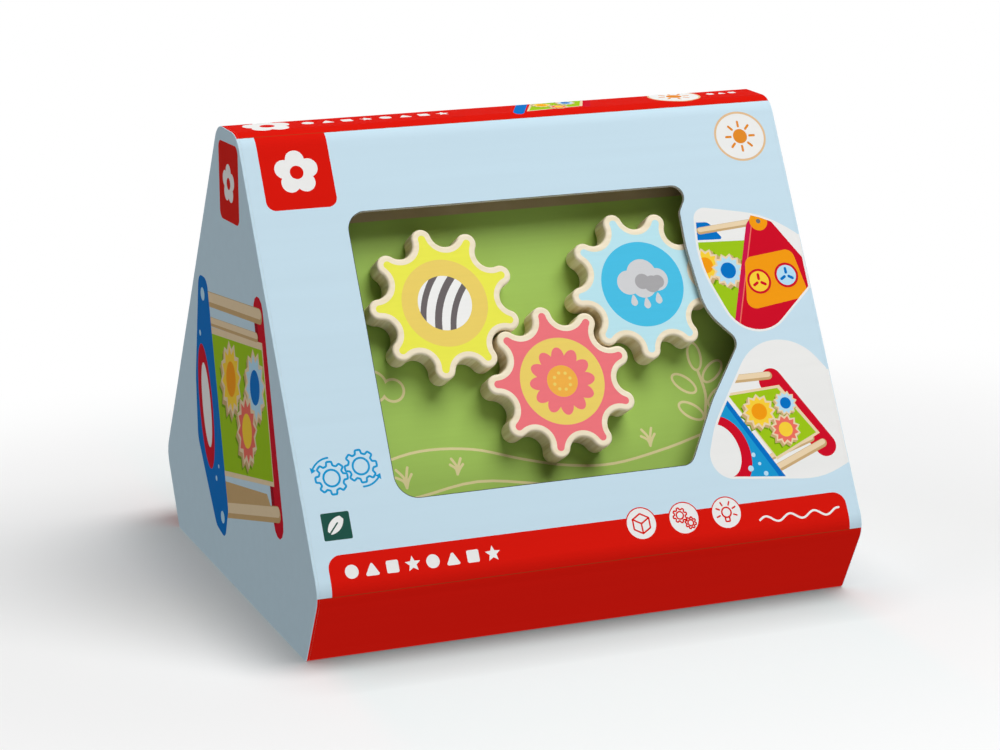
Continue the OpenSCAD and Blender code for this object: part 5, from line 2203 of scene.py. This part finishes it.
@dataclass
class Studio:
    """White sweep, soft light and the camera at the photograph's viewing angle, in metres.

    The key hangs above the front right and a weak fill at the left end. sky and below are the
    light from above and below the horizon, the latter less by below_less towards both ends. The
    floor carries painted shade, going from contact_shade near the object to floor_tone within
    contact_reach, and it fades to white.
    """

    azimuth: float = -21.77
    elevation: float = 15.22
    roll: float = -0.08
    focal: float = 104.87
    location: Corner = (-0.56336, -1.41006, 0.51630)
    boxes: tuple[SoftBox, ...] = (
        SoftBox("key_box", (0.28, -0.29, 0.91), 4.5, 3.6, 222.0),
        SoftBox("fill_box", (-0.7, 0.2, 0.68), 4.0, 2.5, 18.5),
    )
    sky: float = 0.09
    below: float = 1.06
    below_less: float = 0.92
    horizon: float = 0.05
    floor_tone: str = "#ededed"
    contact_shade: str = "#9e9e9d"
    contact_reach: float = 0.045
    skirt_tint: str = "#00ffff"
    skirt_line: float = 0.1072
    skirt_least: float = 0.0078
    skirt_share: float = 0.0058
    skirt_ends: Point = (0.13, 0.155)
    floor_glow: float = 0.16
    floor_fade: Point = (0.18, 0.44)
    floor_stretch: float = 0.65
    floor_half: float = 6.0

    def camera(self) -> None:
        """Sets the camera."""
        a, e, r = (math.radians(v) for v in (self.azimuth, self.elevation, self.roll))
        back = Vector((math.sin(a) * math.cos(e), -math.cos(a) * math.cos(e), math.sin(e)))
        right = Vector((math.cos(a), math.sin(a), 0.0))
        up = back.cross(right)
        across = right * math.cos(r) + up * math.sin(r)
        upright = up * math.cos(r) - right * math.sin(r)
        lens = bpy.data.cameras.new("photo_camera")
        lens.lens, lens.sensor_width, lens.sensor_fit = self.focal, 36.0, "HORIZONTAL"
        lens.clip_start, lens.clip_end = 0.05, 60.0
        made = bpy.data.objects.new("photo_camera", lens)
        bpy.context.scene.collection.objects.link(made)
        turn = Matrix((across, upright, back)).transposed().to_4x4()
        made.matrix_world = Matrix.Translation(Vector(self.location)) @ turn
        bpy.context.scene.camera = made

    def world(self) -> None:
        """Sets even light from above and from the pale floor, seen as white."""
        made = bpy.data.worlds.new("studio_sky")
        bpy.context.scene.world = made
        made.use_nodes = True
        tree = made.node_tree
        tree.nodes.clear()
        coords = add_node(tree, "ShaderNodeTexCoord")
        split = add_node(tree, "ShaderNodeSeparateXYZ", {0: coords.outputs["Generated"]})
        x, z = split.outputs["X"], split.outputs["Z"]
        square = add_node(tree, "ShaderNodeMath", {0: x, 1: x}, operation="MULTIPLY")
        inputs = {0: square, 1: -self.below_less, 2: self.below}
        low = add_node(tree, "ShaderNodeMath", inputs, operation="MULTIPLY_ADD")
        inputs = {"Value": z, "From Min": -self.horizon, "From Max": self.horizon}
        level = add_node(tree, "ShaderNodeMapRange", {**inputs, "To Min": low, "To Max": self.sky})
        light = add_node(tree, "ShaderNodeBackground", {"Color": WHITE_LIGHT, "Strength": level})
        white = add_node(tree, "ShaderNodeBackground", {"Color": WHITE_LIGHT, "Strength": 1.0})
        # What the camera sees, straight or by reflection or through glass, is white.
        rays = add_node(tree, "ShaderNodeLightPath").outputs
        inputs = {0: rays["Is Camera Ray"], 1: rays["Is Glossy Ray"]}
        shine = add_node(tree, "ShaderNodeMath", inputs, operation="MAXIMUM")
        inputs = {0: shine, 1: rays["Is Transmission Ray"]}
        seen = add_node(tree, "ShaderNodeMath", inputs, operation="MAXIMUM")
        mixed = add_node(tree, "ShaderNodeMixShader", {0: seen, 1: light, 2: white})
        add_node(tree, "ShaderNodeOutputWorld", {"Surface": mixed})

    def skirt_bounce(self, tree: Tree, place: Socket) -> Node:
        """Share of the red light on the floor that the carton's red skirts throw there.

        Args:
            tree: the floor's node tree.
            place: the floor's own coordinates.

        Returns:
            The share, which falls with the distance from either skirt and ends at the carton's ends.
        """
        beside = add_node(tree, "ShaderNodeVectorMath", {0: place}, operation="ABSOLUTE")
        x, y = add_node(tree, "ShaderNodeSeparateXYZ", {0: beside}).outputs[:2]
        away = add_node(tree, "ShaderNodeMath", {0: y, 1: self.skirt_line}, operation="SUBTRACT")
        held = add_node(tree, "ShaderNodeMath", {0: away, 1: self.skirt_least}, operation="MAXIMUM")
        share = add_node(tree, "ShaderNodeMath", {0: self.skirt_share, 1: held}, operation="DIVIDE")
        start, end = self.skirt_ends
        inputs = {"Value": x, "From Min": start, "From Max": end, "To Min": 1.0, "To Max": 0.0}
        along = add_node(tree, "ShaderNodeMapRange", inputs, interpolation_type="SMOOTHSTEP")
        return add_node(tree, "ShaderNodeMath", {0: share, 1: along}, operation="MULTIPLY")

    def paper(self) -> bpy.types.Material:
        """Makes the floor's paper, which keeps the shadow and fades to white far from the object.

        Returns:
            The paper.
        """
        made = bpy.data.materials.new("seamless_paper")
        made.use_nodes = True
        tree = made.node_tree
        tree.nodes.clear()
        # Matt seamless paper: no gloss, the object's soft shadow, painted shade close to the object, and
        # white in the distance.
        # Painted shade: an ambient-occlusion mask darkens the paper towards contact_shade close to the
        # object.
        near = add_node(tree, "ShaderNodeAmbientOcclusion", {"Distance": self.contact_reach})
        inputs = {0: near.outputs["AO"], 6: linear(self.contact_shade), 7: linear(self.floor_tone)}
        tone = add_node(tree, "ShaderNodeMix", inputs, data_type="RGBA")
        place = add_node(tree, "ShaderNodeTexCoord").outputs["Object"]
        # Beside the red skirts the paper takes back the red they throw, so the shadow stays grey.
        inputs = {0: self.skirt_bounce(tree, place), 6: tone.outputs[2], 7: linear(self.skirt_tint)}
        grey = add_node(tree, "ShaderNodeMix", inputs, data_type="RGBA", blend_type="MULTIPLY")
        matt = add_node(tree, "ShaderNodeBsdfDiffuse", {"Color": grey.outputs[2], "Roughness": 0.0})
        white = add_node(tree, "ShaderNodeEmission", {"Color": WHITE_LIGHT, "Strength": 1.0})
        inputs = {0: place, 1: (self.floor_stretch, 1.0, 1.0)}
        drawn = add_node(tree, "ShaderNodeVectorMath", inputs, operation="MULTIPLY")
        length = add_node(tree, "ShaderNodeVectorMath", {0: drawn}, operation="LENGTH")
        reach, (start, end) = length.outputs["Value"], self.floor_fade
        inputs = {"Value": reach, "From Min": start, "From Max": end, "To Min": self.floor_glow}
        fade = add_node(tree, "ShaderNodeMapRange", inputs, interpolation_type="SMOOTHSTEP")
        mixed = add_node(tree, "ShaderNodeMixShader", {0: fade, 1: matt, 2: white})
        add_node(tree, "ShaderNodeOutputMaterial", {"Surface": mixed})
        return made

    def floor(self) -> None:
        """Lays the pale floor."""
        h = self.floor_half
        mesh = bpy.data.meshes.new("studio_floor")
        mesh.from_pydata([(-h, -h, 0), (h, -h, 0), (h, h, 0), (-h, h, 0)], [], [(0, 1, 2, 3)])
        mesh.materials.append(self.paper())
        made = bpy.data.objects.new("studio_floor", mesh)
        bpy.context.scene.collection.objects.link(made)
        # The light from below stands for the floor's own, so the floor lets it through.
        made.visible_diffuse = False
        made.visible_shadow = False

    def build(self) -> None:
        """Sets the camera, the light and the floor."""
        self.camera()
        self.world()
        self.floor()
        for box in self.boxes:
            box.hang()
        bpy.context.scene.view_settings.view_transform = "Standard"


def main() -> None:
    """Builds the studio and each sub-assembly, and notes the size of the result."""
    logging.basicConfig(level=logging.INFO, format="%(message)s")
    Studio().build()
    carton = Carton()
    for part in (carton, Tray(carton), ToyFrame(), GearTrain(), TurningDiscs()):
        part.build()
        part.dress()


if __name__ == "__main__":
    main()
